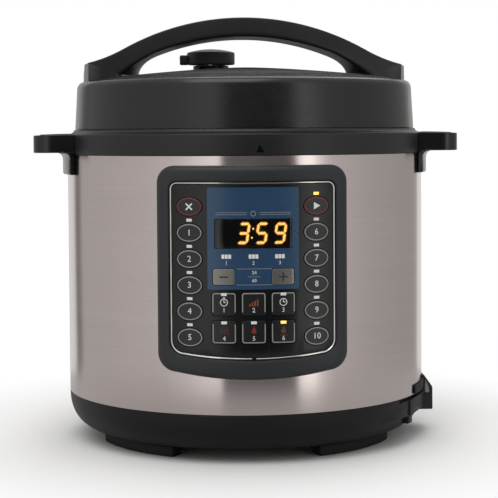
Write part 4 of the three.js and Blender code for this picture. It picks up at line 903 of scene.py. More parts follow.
# ---- collar and side handles
@dataclass
class Collar:
    """The collar that the lid sits on, with the two carrying handles."""

    bench: Bench
    radius: float = 139.0
    inner_r: float = 131.0
    skirt_r: float = 136.9
    floor_r: float = 115.8
    low: float = 219.3
    high: float = 237.8
    floor_low: float = 210.0
    floor_high: float = 212.6
    edge: float = 0.7
    shoulder_fall: float = 3.2
    shoulder_run: float = 6.0
    shoulder_steps: int = 8
    arrow: tuple[Point, ...] = ((2.6, 221.2), (8.6, 221.2), (5.0, 226.6))
    arrow_depth: float = 0.6
    spout_half: float = 9.0
    spout_reach: float = 152.0
    spout_high: float = 228.3
    spout_wall: float = 2.2
    grip_reach: float = 161.6
    grip_width: float = 100.0
    grip_low: float = 220.7
    grip_high: float = 234.7
    grip_corner: float = 15.0
    grip_edge: float = 0.8
    grip_fall: float = 1.0
    grip_root: float = 127.6
    rib_count: int = 11
    rib_pitch: float = 2.1
    rib_first: float = 134.0
    rib_height: float = 0.5
    rib_width: float = 1.24
    hollow_near: float = 147.5
    hollow_wall: float = 3.2
    hollow_depth: float = 11.0
    skirt_low: float = 204.0
    skirt_reach: float = 141.8
    skirt_width: float = 98.0
    skirt_wall: float = 3.4
    skirt_overlap: float = 1.0
    fillet: float = 6.0

    def build(self) -> None:
        """Builds the collar and both handles."""
        self.ring()
        self.handle("side_grip_right", 0.0, "side_handle_right")
        self.handle("side_grip_left", 180.0, "side_handle_left")

    def ring(self) -> None:
        """Turns the collar, joins the drain spout at the back and cuts the mark at the front."""
        fall, run, turns = self.shoulder_fall, self.shoulder_run, quarter(self.shoulder_steps)[1:-1]
        shoulder = [(self.radius - run * math.sin(t), self.high - fall * math.cos(t), 0) for t in turns]
        profile = rounded([
            (self.floor_r, self.floor_low, 0), (self.skirt_r, self.floor_low, 0),
            (self.skirt_r, self.low, 0), (self.radius, self.low, 0.5), (self.radius, self.high - fall, 1.2),
            *shoulder, (self.radius - run, self.high, 0), (self.inner_r, self.high, self.edge),
            (self.inner_r, self.floor_high, self.edge), (self.floor_r, self.floor_high, 0),
        ])
        half, wall = self.spout_half, self.spout_wall
        spout = block((-half, self.skirt_r, self.low), (half, self.spout_reach, self.spout_high))
        channel = block(
            (wall - half, self.inner_r - 5, self.low + wall),
            (half - wall, self.spout_reach - wall, self.spout_high - wall),
        )
        drain = block(
            (wall - half, self.radius + wall, self.low - 5),
            (half - wall, self.spout_reach - wall, self.low + wall + 0.3),
        )
        # The mark's faces take the near-black finish, which is painted shade in the recess.
        arrow = painted(fronted(self.arrow, self.radius - self.arrow_depth, self.radius + 1), 1)
        mesh = carved(turned(profile), softened(spout, 1.2), operation="UNION")
        mesh = carved(mesh, channel, drain, arrow)
        self.bench.piece("collar_ring", mesh, (BODY_BLACK, RECESS_SHADE_BLACK), "black_plastic", "upper_collar")

    def plan(self, near: float, far: float, width: float, corner: float) -> list[Vector]:
        """Returns a plan of the grip between two x values, round at its far corners."""
        half = width / 2
        return rounded([(near, -half, 0), (far, -half, corner), (far, half, corner), (near, half, 0)], 10)

    def handle(self, name: str, azimuth: float, node: str) -> None:
        """Builds one handle: a ribbed grip, hollow below, on a skirt that runs down the wall.

        Args:
            name: the piece's name.
            azimuth: how far the handle on the right is turned about the axis.
            node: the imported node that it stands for.
        """
        root, reach, width, wall = self.grip_root, self.grip_reach, self.grip_width, self.hollow_wall
        grip = prism(self.plan(root, reach, width, self.grip_corner), self.grip_low, self.grip_high)
        grip = softened(grip, self.grip_edge, 4)
        ribs = [self.rib(self.rib_first + i * self.rib_pitch) for i in range(self.rib_count)]
        grip = carved(grip, *ribs, operation="UNION")
        for vert in grip.verts:
            share = max(0.0, (vert.co.x - root) / (reach - root))
            vert.co.z -= self.grip_fall * share**2 * (vert.co.z - self.grip_low) / (self.high - self.grip_low)
        grip = carved(grip, self.skirt(), operation="UNION")
        corner = reach - wall - self.hollow_near - 2
        plan = self.plan(self.hollow_near, reach - wall, width - 2 * wall, corner)
        hollow = softened(prism(plan, self.grip_low - 5, self.grip_low + self.hollow_depth), 1.5, 3)
        beside, wall_r = self.radius + 0.3, self.skirt_reach - self.skirt_wall
        lower = band(0, wall_r, 150, self.low)[:-1]
        core = turned([*lower, (beside, self.low), (beside, 260), (0, 260)])
        mesh = moved(carved(grip, hollow, core), azimuth=azimuth)
        self.bench.piece(name, mesh, GRIP_BLACK, "black_plastic", node)

    def rib(self, x: float) -> Mesh:
        """Makes one rib that lies across the top of the grip, shorter where the corners are round.

        Args:
            x: its distance from the axis.

        Returns:
            Its mesh.
        """
        reach = self.grip_reach - self.grip_corner
        past = max(0.0, x - reach) / self.grip_corner
        half = self.grip_width / 2 - self.grip_edge - 1 - self.grip_corner * (1 - math.sqrt(1 - past**2))
        thick = self.rib_width / 2
        low, high = self.grip_high - 1, self.grip_high + self.rib_height
        return softened(block((x - thick, -half, low), (x + thick, half, high)), 0.4, 2)

    def skirt(self) -> Mesh:
        """Turns the skirt below the grip, which runs into it in a quarter round.

        Returns:
            Its mesh.
        """
        inner, outer = self.skirt_reach - self.skirt_wall - self.skirt_overlap, self.skirt_reach
        top, far = self.grip_low + 1, outer + self.fillet + 1
        profile = rounded([
            (inner, self.skirt_low, 0.8), (outer, self.skirt_low, 1.6), (outer, self.grip_low, self.fillet),
            (far, self.grip_low, 0), (far, top, 0), (inner, top, 0),
        ])
        span = 2 * math.degrees(math.asin(self.skirt_width / 2 / self.skirt_reach))
        mesh, straight = turned(profile, 20, 90 - span / 2, span), self.grip_low - self.fillet - 1
        return softened(mesh, 1.0, 2, lambda middle: middle.z < straight)


# ---- control panel
@dataclass(frozen=True)
class PanelShape:
    """A panel outline whose bottom edge sags in the middle."""

    half_width: float
    low: float
    height: float
    corner: float
    sag: float
    top_corner: float

    def outline(self, grow: float = 0.0, along: int = 44, turn: int = 8) -> list[Vector]:
        """Returns the outline grown outwards.

        Args:
            grow: how far it grows.
            along: facets of the bottom and top edge.
            turn: facets of each corner.

        Returns:
            Points of x and z.
        """
        corner = self.corner + grow
        reach, top = self.half_width + grow - corner, self.low + self.height + grow
        upper = self.top_corner + grow
        far = self.half_width + grow - upper
        side = self.low + self.sag - grow
        bottom = []
        for i in range(along + 1):
            t = i / along
            bottom.append(Vector((reach * (2 * t - 1), side - 2 * t * (1 - t) * 2 * self.sag)))
        high = top - upper
        return [
            *bottom[:-1], *arc((reach, side + corner), (corner, corner), -90, 0, turn),
            *arc((far, high), (upper, upper), 0, 90, turn),
            *[Vector((far * (1 - 2 * i / along), top)) for i in range(1, along)],
            *arc((-far, high), (upper, upper), 90, 180, turn),
            *arc((-reach, side + corner), (corner, corner), 180, 270, turn)[:-1],
        ]

    def row(self, grow: float, radius: float) -> list[Point]:
        """Returns the outline grown outwards, laid on a round about the axis."""
        return [(p.x, -math.sqrt(radius**2 - p.x**2), p.y) for p in self.outline(grow)]


@dataclass(frozen=True)
class KeyShape:
    """The face of a kind of key: an oval, or a rectangle with round corners."""

    width: float
    height: float
    corner: float = 0.0
    facets: int = 48

    def outline(self, grow: float = 0.0) -> list[Vector]:
        """Returns the outline about its own middle, grown outwards."""
        if not self.corner:
            half = (self.width / 2 + grow, self.height / 2 + grow)
            return arc((0, 0), half, 0, 360, self.facets)[:-1]
        corner = max(self.corner + grow, 0.3)
        return rectangle(self.width + 2 * grow, self.height + 2 * grow, corner)


class Ring(Enum):
    """Which stretch of a key's printed ring is left out, as lowest and highest share of its height."""

    WHOLE = (0.0, 1.0)
    OPEN_BELOW = (0.3, 1.0)
    OPEN_ABOVE = (0.0, 0.7)
    NONE = (2.0, 2.0)


@dataclass
class Key:
    """One key of the panel: where it is and what is printed on it."""

    name: str
    shape: KeyShape
    azimuth: float
    z: float
    plastic: Finish = KEY_BLACK
    ring: Ring = Ring.WHOLE
    ring_ink: Finish = GREY_INK
    prints: list[Mesh] = field(default_factory=list)
    ink: Finish = WHITE_INK
    signs: list[Mesh] = field(default_factory=list)
    lamps: list[Mesh] = field(default_factory=list)

    face_r: float = 142.9
    back_r: float = 138.3
    flange: float = 1.0
    flange_wall: float = 1.2
    edge: float = 0.45
    ring_width: float = 0.7
    lift: float = 0.05

    def rows(self) -> list[list[Spot]]:
        """Returns the key's loops from its back to the inside of its printed ring."""
        steps = [
            (self.flange, self.back_r), (self.flange, self.back_r + self.flange_wall),
            (0.0, self.back_r + self.flange_wall), (0.0, self.face_r - self.edge),
            (-0.3 * self.edge, self.face_r - 0.3 * self.edge), (-self.edge, self.face_r),
            (-self.edge - self.ring_width, self.face_r),
        ]
        return [[(p.x, -radius, p.y) for p in self.shape.outline(grow)] for grow, radius in steps]

    def flats(self, *shapes: Sequence[Vector]) -> list[Mesh]:
        """Returns flat shapes, printed on the key's face."""
        return [fronted(shape, self.face_r - self.lift, self.face_r + self.lift) for shape in shapes]

    def number(self, text: str, height: float, rise: float = 0.0) -> Mesh:
        """Returns plain numbers, printed on the key's face."""
        return lettered(text, height, 0, rise, self.face_r - self.lift, self.face_r + self.lift)

    def build(self, bench: Bench) -> None:
        """Builds the key and puts it on its own body.

        Args:
            bench: the bench that the key joins.
        """
        mesh = skinned(self.rows())
        low, high = (share * self.shape.height - self.shape.height / 2 for share in self.ring.value)
        inside = self.shape.outline(-self.edge - self.ring_width / 2)
        reach = max(p.length for p in inside) + 1
        for face in mesh.faces:
            middle = face.calc_center_median()
            flat = abs(middle.y + self.face_r) < WELD and len(face.verts) == 4 and middle.xz.length < reach
            face.material_index = int(flat and low <= middle.z <= high)
        wrapped(striped(mesh, KEY_STRIP), self.face_r)
        layers = enumerate((self.prints, self.signs, self.lamps), start=2)
        marks = [painted(wrapped(made, self.face_r), index) for index, layer in layers for made in layer]
        mesh = moved(together(mesh, *marks), (0, 0, self.z), self.azimuth)
        slot = "key_silver" if self.plastic is KEY_SILVER else "key_black"
        finishes = (self.plastic, self.ring_ink, self.ink, WHITE_INK, LIT_MARK)
        bench.piece(f"{self.name}_cap", mesh, finishes, slot, self.name, body=self.name)


@dataclass
class Panel:
    """The control panel: its surround, edge strip, film, window, figures and keys."""

    bench: Bench
    bezel: PanelShape = PanelShape(67.1, 62.4, 149.8, 13.0, 4.8, 12.0)
    film: PanelShape = PanelShape(56.6, 78.1, 121.1, 8.0, 3.2, 3.4)
    film_r: float = 142.5
    film_wall: float = 2.0
    opening_margin: float = 3.0
    strip: float = 3.5
    lip: float = 1.6
    rebate: float = 2.0
    bezel_r: float = 144.8
    bezel_back_r: float = 138.4
    bezel_skirt_r: float = 133.6
    bezel_round: float = 3.2
    trim: Point = (0.4, 1.6)
    trim_r: float = 143.0
    trim_wall: float = 1.6
    trim_edge: float = 0.35
    trim_slot: float = 1.5
    field_half: float = 32.0
    field_low: float = 125.9
    field_high: float = 197.1
    field_corner: float = 1.4
    ink: float = 0.06
    window_width: float = 53.8
    window_height: float = 20.2
    window_z: float = 164.8
    window_corner: float = 1.2
    window_wall: float = 1.4
    figure_y: float = 137.3
    figure_height: float = 13.8
    figure_width: float = 7.9
    figure_stroke: float = 1.6
    figure_slant: float = 9.0
    figure_gap: float = 0.18
    figure_spill: float = 0.75
    colon_rise: float = 2.9
    figures_lit: tuple[str, ...] = ("", "abcdg", "acdfg", "abcdfg")
    rule_width: float = 0.3
    rule_step: float = 2.2
    figure_xs: tuple[float, ...] = (-19.4, -6.6, 6.2, 19.0)
    oval: KeyShape = KeyShape(18.9, 13.2)
    square: KeyShape = KeyShape(17.2, 16.2, 2.4)
    step: KeyShape = KeyShape(15.5, 11.2, 1.6)
    oval_azimuth: float = 18.2
    oval_z: float = 183.7
    oval_pitch: float = 18.33
    column_azimuth: float = 8.35
    square_z: float = 115.8
    square_pitch: float = 19.8
    step_z: float = 134.6
    key_gap: float = 0.35
    mark_size: Point = (4.0, 2.0)
    oval_mark_rise: float = 8.9
    lit_mark_rise: float = 8.6
    level_xs: Spot = (-18.9, 0.0, 18.5)
    level_pitch: float = 2.35
    level_z: float = 148.9
    emblem_z: float = 178.8
    unit_z: float = 134.8
    square_mark_rise: float = 6.7

    def build(self) -> None:
        """Builds every piece of the panel."""
        self.surround()
        self.edge_strip()
        keys = self.keys()
        self.plate(keys)
        self.field_print()
        self.window()
        self.figures()
        self.marks()
        for key in keys:
            key.build(self.bench)
        self.bench.dress(DISPLAY_BLACK, "display_module")
        self.bench.dress(BOARD_GREEN, "control_board")

    def opening(self) -> Mesh:
        """Returns the block that cuts the opening behind the panel from the wall."""
        return fronted(self.film.outline(self.opening_margin), self.film_r / 2, self.film_r)

    def surround(self) -> None:
        """Skins the surround, with its rounded face and the step that holds the film."""
        face, back, turn = self.bezel_r, self.bezel_back_r, self.bezel_round
        outside = [
            (0.0, back), (0.0, face - turn), (-0.25 * turn, face - 0.42 * turn),
            (-0.62 * turn, face - 0.13 * turn), (-1.3 * turn, face),
        ]
        step = self.film_r - self.film_wall - 0.3
        inside = [
            (self.rebate + 2.4, face), (self.rebate + 0.9, face - 0.35), (self.rebate + 0.15, face - 1.2),
            (self.rebate, face - 2.0), (self.rebate, step), (-self.lip, step),
            (-self.lip, self.bezel_skirt_r), (0.0, self.bezel_skirt_r), (0.0, back),
        ]
        rows = [self.bezel.row(grow, radius) for grow, radius in outside]
        rows += [self.film.row(grow, radius) for grow, radius in inside]
        mesh = skinned(rows, ring=True)
        self.bench.piece("panel_surround", mesh, BEZEL_SATIN, "satin_black", "control_bezel")

    def edge_strip(self) -> None:
        """Skins the bright strip round the film and cuts its joint."""
        near, far = self.trim
        face, back, edge = self.trim_r, self.trim_r - self.trim_wall, self.trim_edge
        steps = [
            (near, back), (far, back), (far, face - edge), (far - edge, face), (near + edge, face),
            (near, face - edge),
        ]
        mesh = skinned([self.film.row(grow, radius) for grow, radius in steps], ring=True)
        slot = self.trim_slot
        mesh = carved(mesh, block((-slot, -face - 5, 60), (slot, -100, self.film.low + 10)))
        self.bench.piece("panel_edge_strip", mesh, CHROME_TRIM, "bright_trim", "panel_trim")

    def keys(self) -> list[Key]:
        """Makes the keys, with what is printed on each.

        Returns:
            The ovals of both sides, the six programs and the two step keys.
        """
        made = []
        for side, sign in (("left", -1), ("right", 1)):
            for row in range(6):
                z = self.oval_z - row * self.oval_pitch
                key = Key(f"key_{side}_{row + 1}", self.oval, sign * self.oval_azimuth, z)
                if row:
                    key.prints = [key.number(str(row if side == "left" else row + 5), 4.4)]
                else:
                    key.ring_ink = RED_INK
                    key.prints = key.flats(*(self.cross() if side == "left" else self.triangle()))
                made.append(key)
        for place in range(6):
            row, column = divmod(place, 3)
            z = self.square_z - row * self.square_pitch
            ring = Ring.OPEN_ABOVE if row else Ring.OPEN_BELOW
            azimuth = (column - 1) * self.column_azimuth
            key = Key(f"key_program_{place + 1}", self.square, azimuth, z, ring=ring)
            key.prints = key.flats(*self.pictogram(place))
            key.signs = [key.number(str(place + 1), 3.2, -4.5)]
            mark = key.flats(rectangle(*self.mark_size, 0.25, 0, self.square_mark_rise))
            if place == 5:
                key.lamps = mark
            elif place != 1:
                key.signs += mark
            key.ink = (WHITE_INK, ORANGE_INK, WHITE_INK, BROWN_INK, RED_INK, BROWN_INK)[place]
            made.append(key)
        for name, sign in (("key_minus", -1), ("key_plus", 1)):
            key = Key(name, self.step, sign * self.column_azimuth, self.step_z, KEY_SILVER, Ring.NONE)
            key.ink = KEY_GLYPH
            bars = [rectangle(6.2, 1.1, 0.2), rectangle(1.1, 6.2, 0.2)]
            key.prints = key.flats(*bars[: 1 if sign < 0 else 2])
            made.append(key)
        return made

    @staticmethod
    def cross() -> list[list[Vector]]:
        """Returns the two bars of a diagonal cross."""
        spins = [Matrix.Rotation(math.radians(turn), 2) for turn in (45, -45)]
        return [[spin @ p for p in rectangle(6.4, 1.0, 0.2)] for spin in spins]

    @staticmethod
    def triangle() -> list[list[Vector]]:
        """Returns a triangle that points to the right."""
        return [rounded([(-1.9, -2.6, 0.3), (2.9, 0, 0.3), (-1.9, 2.6, 0.3)], 3)]

    @staticmethod
    def hoop(outer: float, inner: float, z: float, steps: int) -> list[list[Vector]]:
        """Returns a printed circle as two half rings."""
        made = []
        for start in (0, 180):
            outside = arc((0, z), (outer, outer), start, start + 180, steps)
            made.append(outside + arc((0, z), (inner, inner), start + 180, start, steps))
        return made

    def pictogram(self, place: int) -> list[list[Vector]]:
        """Draws a plain pictogram: stopwatch, bars, clock, steam, flame or flame on a line.

        Args:
            place: which of the six it is.

        Returns:
            The outline of each of its shapes.
        """
        if place in (0, 2):
            hands = [rectangle(0.5, 1.9, 0.1, 0, 1.9), rectangle(1.5, 0.5, 0.1, 0.6, 1.1)]
            crown = [rectangle(1.2, 0.7, 0.1, 0, 4.3)] if place == 0 else []
            return self.hoop(2.7, 2.2, 1.1, 16) + hands + crown
        if place == 1:
            bars = [(-2.7 + 1.8 * i, 1.6 + 1.1 * i) for i in range(4)]
            return [rectangle(0.9, z, 0.15, x, z / 2 - 1.6) for x, z in bars]
        if place == 3:
            return [self.wave(x) for x in (-2.2, 0.0, 2.2)]
        upper = [(-2.1, 0.4, 0.9), (-1.0, 2.2, 0.5), (0.2, 4.6, 0.2), (1.2, 2.2, 0.5), (2.1, 0.4, 0.9)]
        line_below = [rectangle(5.2, 0.5, 0.1, 0, -2.3)] if place == 5 else []
        return [rounded([*upper, (0, -1.6, 1.2)], 4), *line_below]

    @staticmethod
    def wave(x: float) -> list[Vector]:
        """Returns one upright wavy stroke."""
        low, high, swing, half, steps = -1.6, 3.6, 0.7, 0.28, 16
        zs = [low + (high - low) * i / steps for i in range(steps + 1)]
        bends = [x + swing * math.sin((z - low) * 2.4) for z in zs]
        left, right = ([Vector((b + side, z)) for b, z in zip(bends, zs)] for side in (-half, half))
        return left + right[::-1]

    def plate(self, keys: list[Key]) -> None:
        """Cuts the film with its window and key holes, and bends it round the body.

        Args:
            keys: the keys that need a hole.
        """
        at = self.film_r
        mesh = softened(fronted(self.film.outline(), at - self.film_wall, at), 0.2, 2)
        tools = [self.hole(key.shape, key.azimuth, key.z) for key in keys]
        tools.append(self.through(self.pane(0.3)))
        mesh = wrapped(striped(carved(mesh, *tools), self.strip), at)
        self.bench.piece("panel_film", mesh, PANEL_FILM, "panel_black", "faceplate")

    def through(self, outline: Sequence[Vector]) -> Mesh:
        """Returns what cuts an outline through the film."""
        return fronted(outline, self.film_r - 5, self.film_r + 5)

    def hole(self, shape: KeyShape, azimuth: float, z: float) -> Mesh:
        """Returns what cuts the hole of a key through the film."""
        return self.through(around(shape.outline(self.key_gap), self.film_r, azimuth, z))

    def pane(self, grow: float) -> list[Vector]:
        """Returns the window's outline, grown outwards."""
        width, height = self.window_width + 2 * grow, self.window_height + 2 * grow
        return rectangle(width, height, self.window_corner, 0, self.window_z)

    def printed(self, outline: Sequence[Vector], index: int, layer: int = 1) -> Mesh:
        """Returns a flat print on the film, still unbent.

        Args:
            outline: its outline of x and z.
            index: the number of its finish.
            layer: how many layers of ink up it ends.

        Returns:
            The mesh.
        """
        return painted(fronted(outline, self.film_r - 0.02, self.film_r + self.ink * layer), index)

    def field_print(self) -> None:
        """Prints the blue field, cut out round the window and the two step keys."""
        middle, height = (self.field_low + self.field_high) / 2, self.field_high - self.field_low
        mesh = self.printed(rectangle(2 * self.field_half, height, self.field_corner, 0, middle), 0)
        holes = [self.hole(self.step, sign * self.column_azimuth, self.step_z) for sign in (-1, 1)]
        mesh = wrapped(striped(carved(mesh, self.through(self.pane(0.3)), *holes), self.strip), self.film_r)
        self.bench.piece("panel_field", mesh, FIELD_INK, "panel_black")

    def window(self) -> None:
        """Bends the smoked pane."""
        at = self.film_r
        mesh = softened(fronted(self.pane(0.0), at - self.window_wall, at), 0.15, 2)
        mesh = wrapped(striped(mesh, KEY_STRIP), at)
        self.bench.piece("figure_window", mesh, WINDOW_SMOKED, "display_window", "display_window")

    def segments(self, x: float, grow: float) -> dict[str, list[Vector]]:
        """Returns the seven strokes of a figure.

        Args:
            x: middle of the figure.
            grow: how much wider each stroke is made on either side.

        Returns:
            The outline of each stroke by its letter.
        """
        half_w, half_h = self.figure_width / 2, self.figure_height / 2
        stroke, gap = self.figure_stroke / 2, self.figure_gap
        lean = math.tan(math.radians(self.figure_slant))
        w, h = half_w - stroke, half_h - stroke

        def bar(start: Point, end: Point) -> list[Vector]:
            """Returns a stroke between two points, pointed at both ends."""
            a, b = Vector(start), Vector(end)
            along = (b - a).normalized()
            side = Vector((-along.y, along.x)) * (stroke + grow)
            a, b = a + along * (gap - grow), b - along * (gap - grow)
            tip = along * (stroke + grow)
            shape = [a, a + tip - side, b - tip - side, b, b - tip + side, a + tip + side]
            return [Vector((x + p.x + p.y * lean, self.window_z + p.y)) for p in shape]

        return {
            "a": bar((-w, h), (w, h)), "b": bar((w, 0), (w, h)), "c": bar((w, -h), (w, 0)),
            "d": bar((-w, -h), (w, -h)), "e": bar((-w, -h), (-w, 0)), "f": bar((-w, 0), (-w, h)),
            "g": bar((-w, 0), (w, 0)),
        }

    def figures(self) -> None:
        """Builds the lit and unlit strokes of the four figures and the colon."""
        near = self.figure_y
        parts = []
        for x, letters in zip(self.figure_xs, self.figures_lit):
            strokes, halos = self.segments(x, 0.0), self.segments(x, self.figure_spill)
            for letter, outline in strokes.items():
                index = 0 if letter in letters else 2
                parts.append(painted(fronted(outline, near + 0.25, near + 0.4), index))
                if index == 0:
                    parts.append(painted(fronted(halos[letter], near + 0.05, near + 0.12), 1))
        slant = math.tan(math.radians(self.figure_slant))
        for z in (-self.colon_rise, self.colon_rise):
            dot = arc((z * slant - 0.3, self.window_z + z), (0.6, 0.7), 0, 360, 16)[:-1]
            parts.append(painted(fronted(dot, near + 0.25, near + 0.4), 0))
        finishes = (LIT_SEGMENT, LIT_HALO, DARK_SEGMENT)
        self.bench.piece("figure_strokes", together(*parts), finishes, "display_window")

    def marks(self) -> None:
        """Prints the marks beside the keys, the scale lines and the plain numbers on the film."""
        parts = []
        for sign in (-1, 1):
            for row in range(1, 6):
                z = self.oval_z - row * self.oval_pitch + self.oval_mark_rise
                parts.append(self.mark(sign * self.oval_azimuth, z, 0))
        parts.append(self.mark(self.oval_azimuth, self.oval_z + self.lit_mark_rise, 1))
        for number, x in enumerate(self.level_xs, start=1):
            for place in (-1, 0, 1):
                bar = rectangle(2.0, 2.9, 0.2, x + place * self.level_pitch, self.level_z)
                parts.append(self.printed(bar, 0, 2))
            parts.append(self.number(str(number), 2.6, x, self.level_z - 4.6))
        for half, fall in zip(self.hoop(1.9, 1.5, self.emblem_z, 12), (-0.7, 0.7)):
            parts.append(self.printed(half, 2, 2))
            for sign in (-1, 1):
                parts += self.rule(21.8, sign * 15.4, self.emblem_z + fall)
        x, z = 0.5, self.unit_z
        for rise, length in ((-5.7, 25.0), (5.5, 25.0), (0.0, 9.0)):
            parts += self.rule(length, x, z + rise)
        for rise, text in ((2.8, "24"), (-2.8, "60")):
            parts.append(self.number(text, 2.4, x, z + rise))
        mesh = wrapped(together(*parts), self.film_r)
        self.bench.piece("panel_marks", mesh, (WHITE_INK, LIT_MARK, GREY_INK), "panel_black")

    def rule(self, length: float, x: float, z: float) -> list[Mesh]:
        """Returns a thin line on the film, in short lengths that follow its curve."""
        count = max(1, round(length / self.rule_step))
        step = length / count
        places = [x - length / 2 + (i + 0.5) * step for i in range(count)]
        return [self.printed(rectangle(step, self.rule_width, 0.01, place, z), 2, 2) for place in places]

    def mark(self, azimuth: float, z: float, index: int) -> Mesh:
        """Returns a small rectangle on the film at an azimuth."""
        outline = around(rectangle(*self.mark_size, 0.25), self.film_r, azimuth, z)
        return self.printed(outline, index, 2)

    def number(self, text: str, height: float, x: float, z: float) -> Mesh:
        """Returns plain numbers on the film, still unbent."""
        return painted(lettered(text, height, x, z, self.film_r - 0.02, self.film_r + 2 * self.ink), 0)


# ---- power inlet and collector
@dataclass
class Inlet:
    """The power inlet low on the right side."""

    bench: Bench
    inner_x: float = 128.0
    reach: float = 144.7
    half: float = 24.0
    low: float = 18.5
    face_high: float = 36.0
    roof_high: float = 45.6
    wall_r: float = 138.0
    clear_r: float = 138.4
    flange_reach: float = 139.5
    flange_low: float = 36.6
    flange_high: float = 43.3
    flange_from: float = 64.3
    flange_span: float = 51.4
    edge: float = 1.2
    rib: float = 2.2
    pocket: float = 1.2
    plate: float = 0.4
    hood_edge: float = 0.7
    wedge_drop: float = 4.5
    socket_z: float = 27.2
    socket_width: float = 26.8
    socket_height: float = 15.0
    socket_corner: float = 3.0
    socket_wall: float = 1.0
    socket_back: float = 26.0
    socket_recess: float = 18.0
    pin: Spot = (12.0, 2.0, 4.0)
    pin_pitch: float = 7.0
    pin_offset: float = 1.6

    def build(self) -> None:
        """Builds the hooded block with its flange, and the socket with its pins."""
        roof, edge, half = self.roof_high, self.edge, self.half
        side = rounded([
            (self.inner_x, self.low, 0), (self.reach, self.low, edge), (self.reach, self.face_high, edge),
            (self.wall_r, roof, 0.6), (self.inner_x, roof, 0),
        ])
        hood = softened(fronted(side, -half, half), self.hood_edge)
        profile = band(self.clear_r, self.flange_reach, self.flange_low, self.flange_high)
        sleeve = painted(softened(turned(profile, 32, self.flange_from, self.flange_span), 0.3), 2)
        core = turned([(0, 36.0), (self.clear_r, 36.0), (self.clear_r, 230), (0, 230)])
        wedge, deep = self.wedge(), self.pocket
        pockets = [fronted(wedge, sign * half - deep, sign * half + deep) for sign in (-1, 1)]
        mesh = carved(hood, core, self.block(0.3, self.inner_x - 5, self.reach + 5), *pockets)
        floors = [sign * (half - deep) for sign in (-1, 1)]
        # Thin light grey plates on the pocket floors are painted sheen where the hood's sides catch the
        # light.
        sheen_plates = [painted(fronted(wedge, y - self.plate / 2, y + self.plate / 2), 1) for y in floors]
        mesh, finishes = together(mesh, *sheen_plates, sleeve), (BODY_BLACK, PAINTED_SHEEN_GREY, RUBBER)
        self.bench.piece("inlet_hood", mesh, finishes, "black_plastic", "inlet_housing")
        self.socket()

    def wedge(self) -> list[Vector]:
        """Returns the outline of the gusset at each side of the hood."""
        near, far, low = self.wall_r + 0.9, self.reach - self.rib, self.face_high - self.wedge_drop
        corners = [(near, low), (far, low), (far, self.face_high - 1.0), (near, self.roof_high - self.rib)]
        return rounded([(*corner, 0.5) for corner in corners], 3)

    def block(self, grow: float, near: float, far: float) -> Mesh:
        """Returns the socket's outline pushed out to the right between two x values."""
        width, height = self.socket_width + 2 * grow, self.socket_height + 2 * grow
        outline = rectangle(width, height, self.socket_corner + grow, 0, self.socket_z)
        return moved(fronted(outline, near, far), azimuth=90)

    def socket(self) -> None:
        """Builds the socket's shell and its three pins."""
        face = self.reach
        recess = self.block(-self.socket_wall, face - self.socket_recess, face + 5)
        shell = carved(softened(self.block(0, face - self.socket_back, face), 0.3), recess)
        length, width, height = self.pin
        near = face - self.socket_recess - 1
        pins = []
        for place in (-1, 0, 1):
            y, z = place * self.pin_pitch, self.socket_z - self.pin_offset * (1 if place else -1)
            low = (near, y - width / 2, z - height / 2)
            high = (near + 1 + length, y + width / 2, z + height / 2)
            pins.append(painted(softened(block(low, high), 0.4), 1))
        mesh = together(shell, *pins)
        self.bench.piece("inlet_shell", mesh, (BODY_BLACK, SPUN_STEEL), "black_plastic", "inlet_socket")


@dataclass
class Collector:
    """The condensation cup at the back and the bracket that holds it."""

    bench: Bench
    width: float = 62.0
    near: float = 141.4
    far: float = 168.0
    low: float = 160.0
    high: float = 206.0
    wall: float = 1.8
    corner: float = 6.0
    play: float = 0.35
    bracket_wall: float = 2.0
    bracket_reach: float = 158.0
    bracket_rise: float = 20.0
    clear_r: float = 138.4

    def build(self) -> None:
        """Builds the cup and its bracket."""
        middle, depth = (self.near + self.far) / 2, self.far - self.near
        outside = prism(rectangle(self.width, depth, self.corner, 0, middle), self.low, self.high)
        wall = self.wall
        room = rectangle(self.width - 2 * wall, depth - 2 * wall, self.corner - wall, 0, middle)
        inside = softened(prism(room, self.low + wall, self.high + 5), 1.4, 3)
        cup = carved(softened(outside, 0.7, 3), inside)
        node = "condensation_cup"
        self.bench.piece("drip_cup", cup, CUP_CLEAR, "clear_plastic", node, body=node)
        play, half = self.play, self.width / 2 + self.play + self.bracket_wall
        body = block(
            (-half, 100, self.low - play - self.bracket_wall),
            (half, self.bracket_reach, self.low + self.bracket_rise),
        )
        slot = block(
            (-self.width / 2 - play, self.near - play, self.low - play),
            (self.width / 2 + play, self.bracket_reach + 5, self.high),
        )
        core = turned([(0, 100), (self.clear_r, 100), (self.clear_r, 230), (0, 230)])
        mesh = carved(softened(body, 1.0), core, slot)
        self.bench.piece("drip_cup_bracket", mesh, BODY_BLACK, "black_plastic", "collector_bracket")


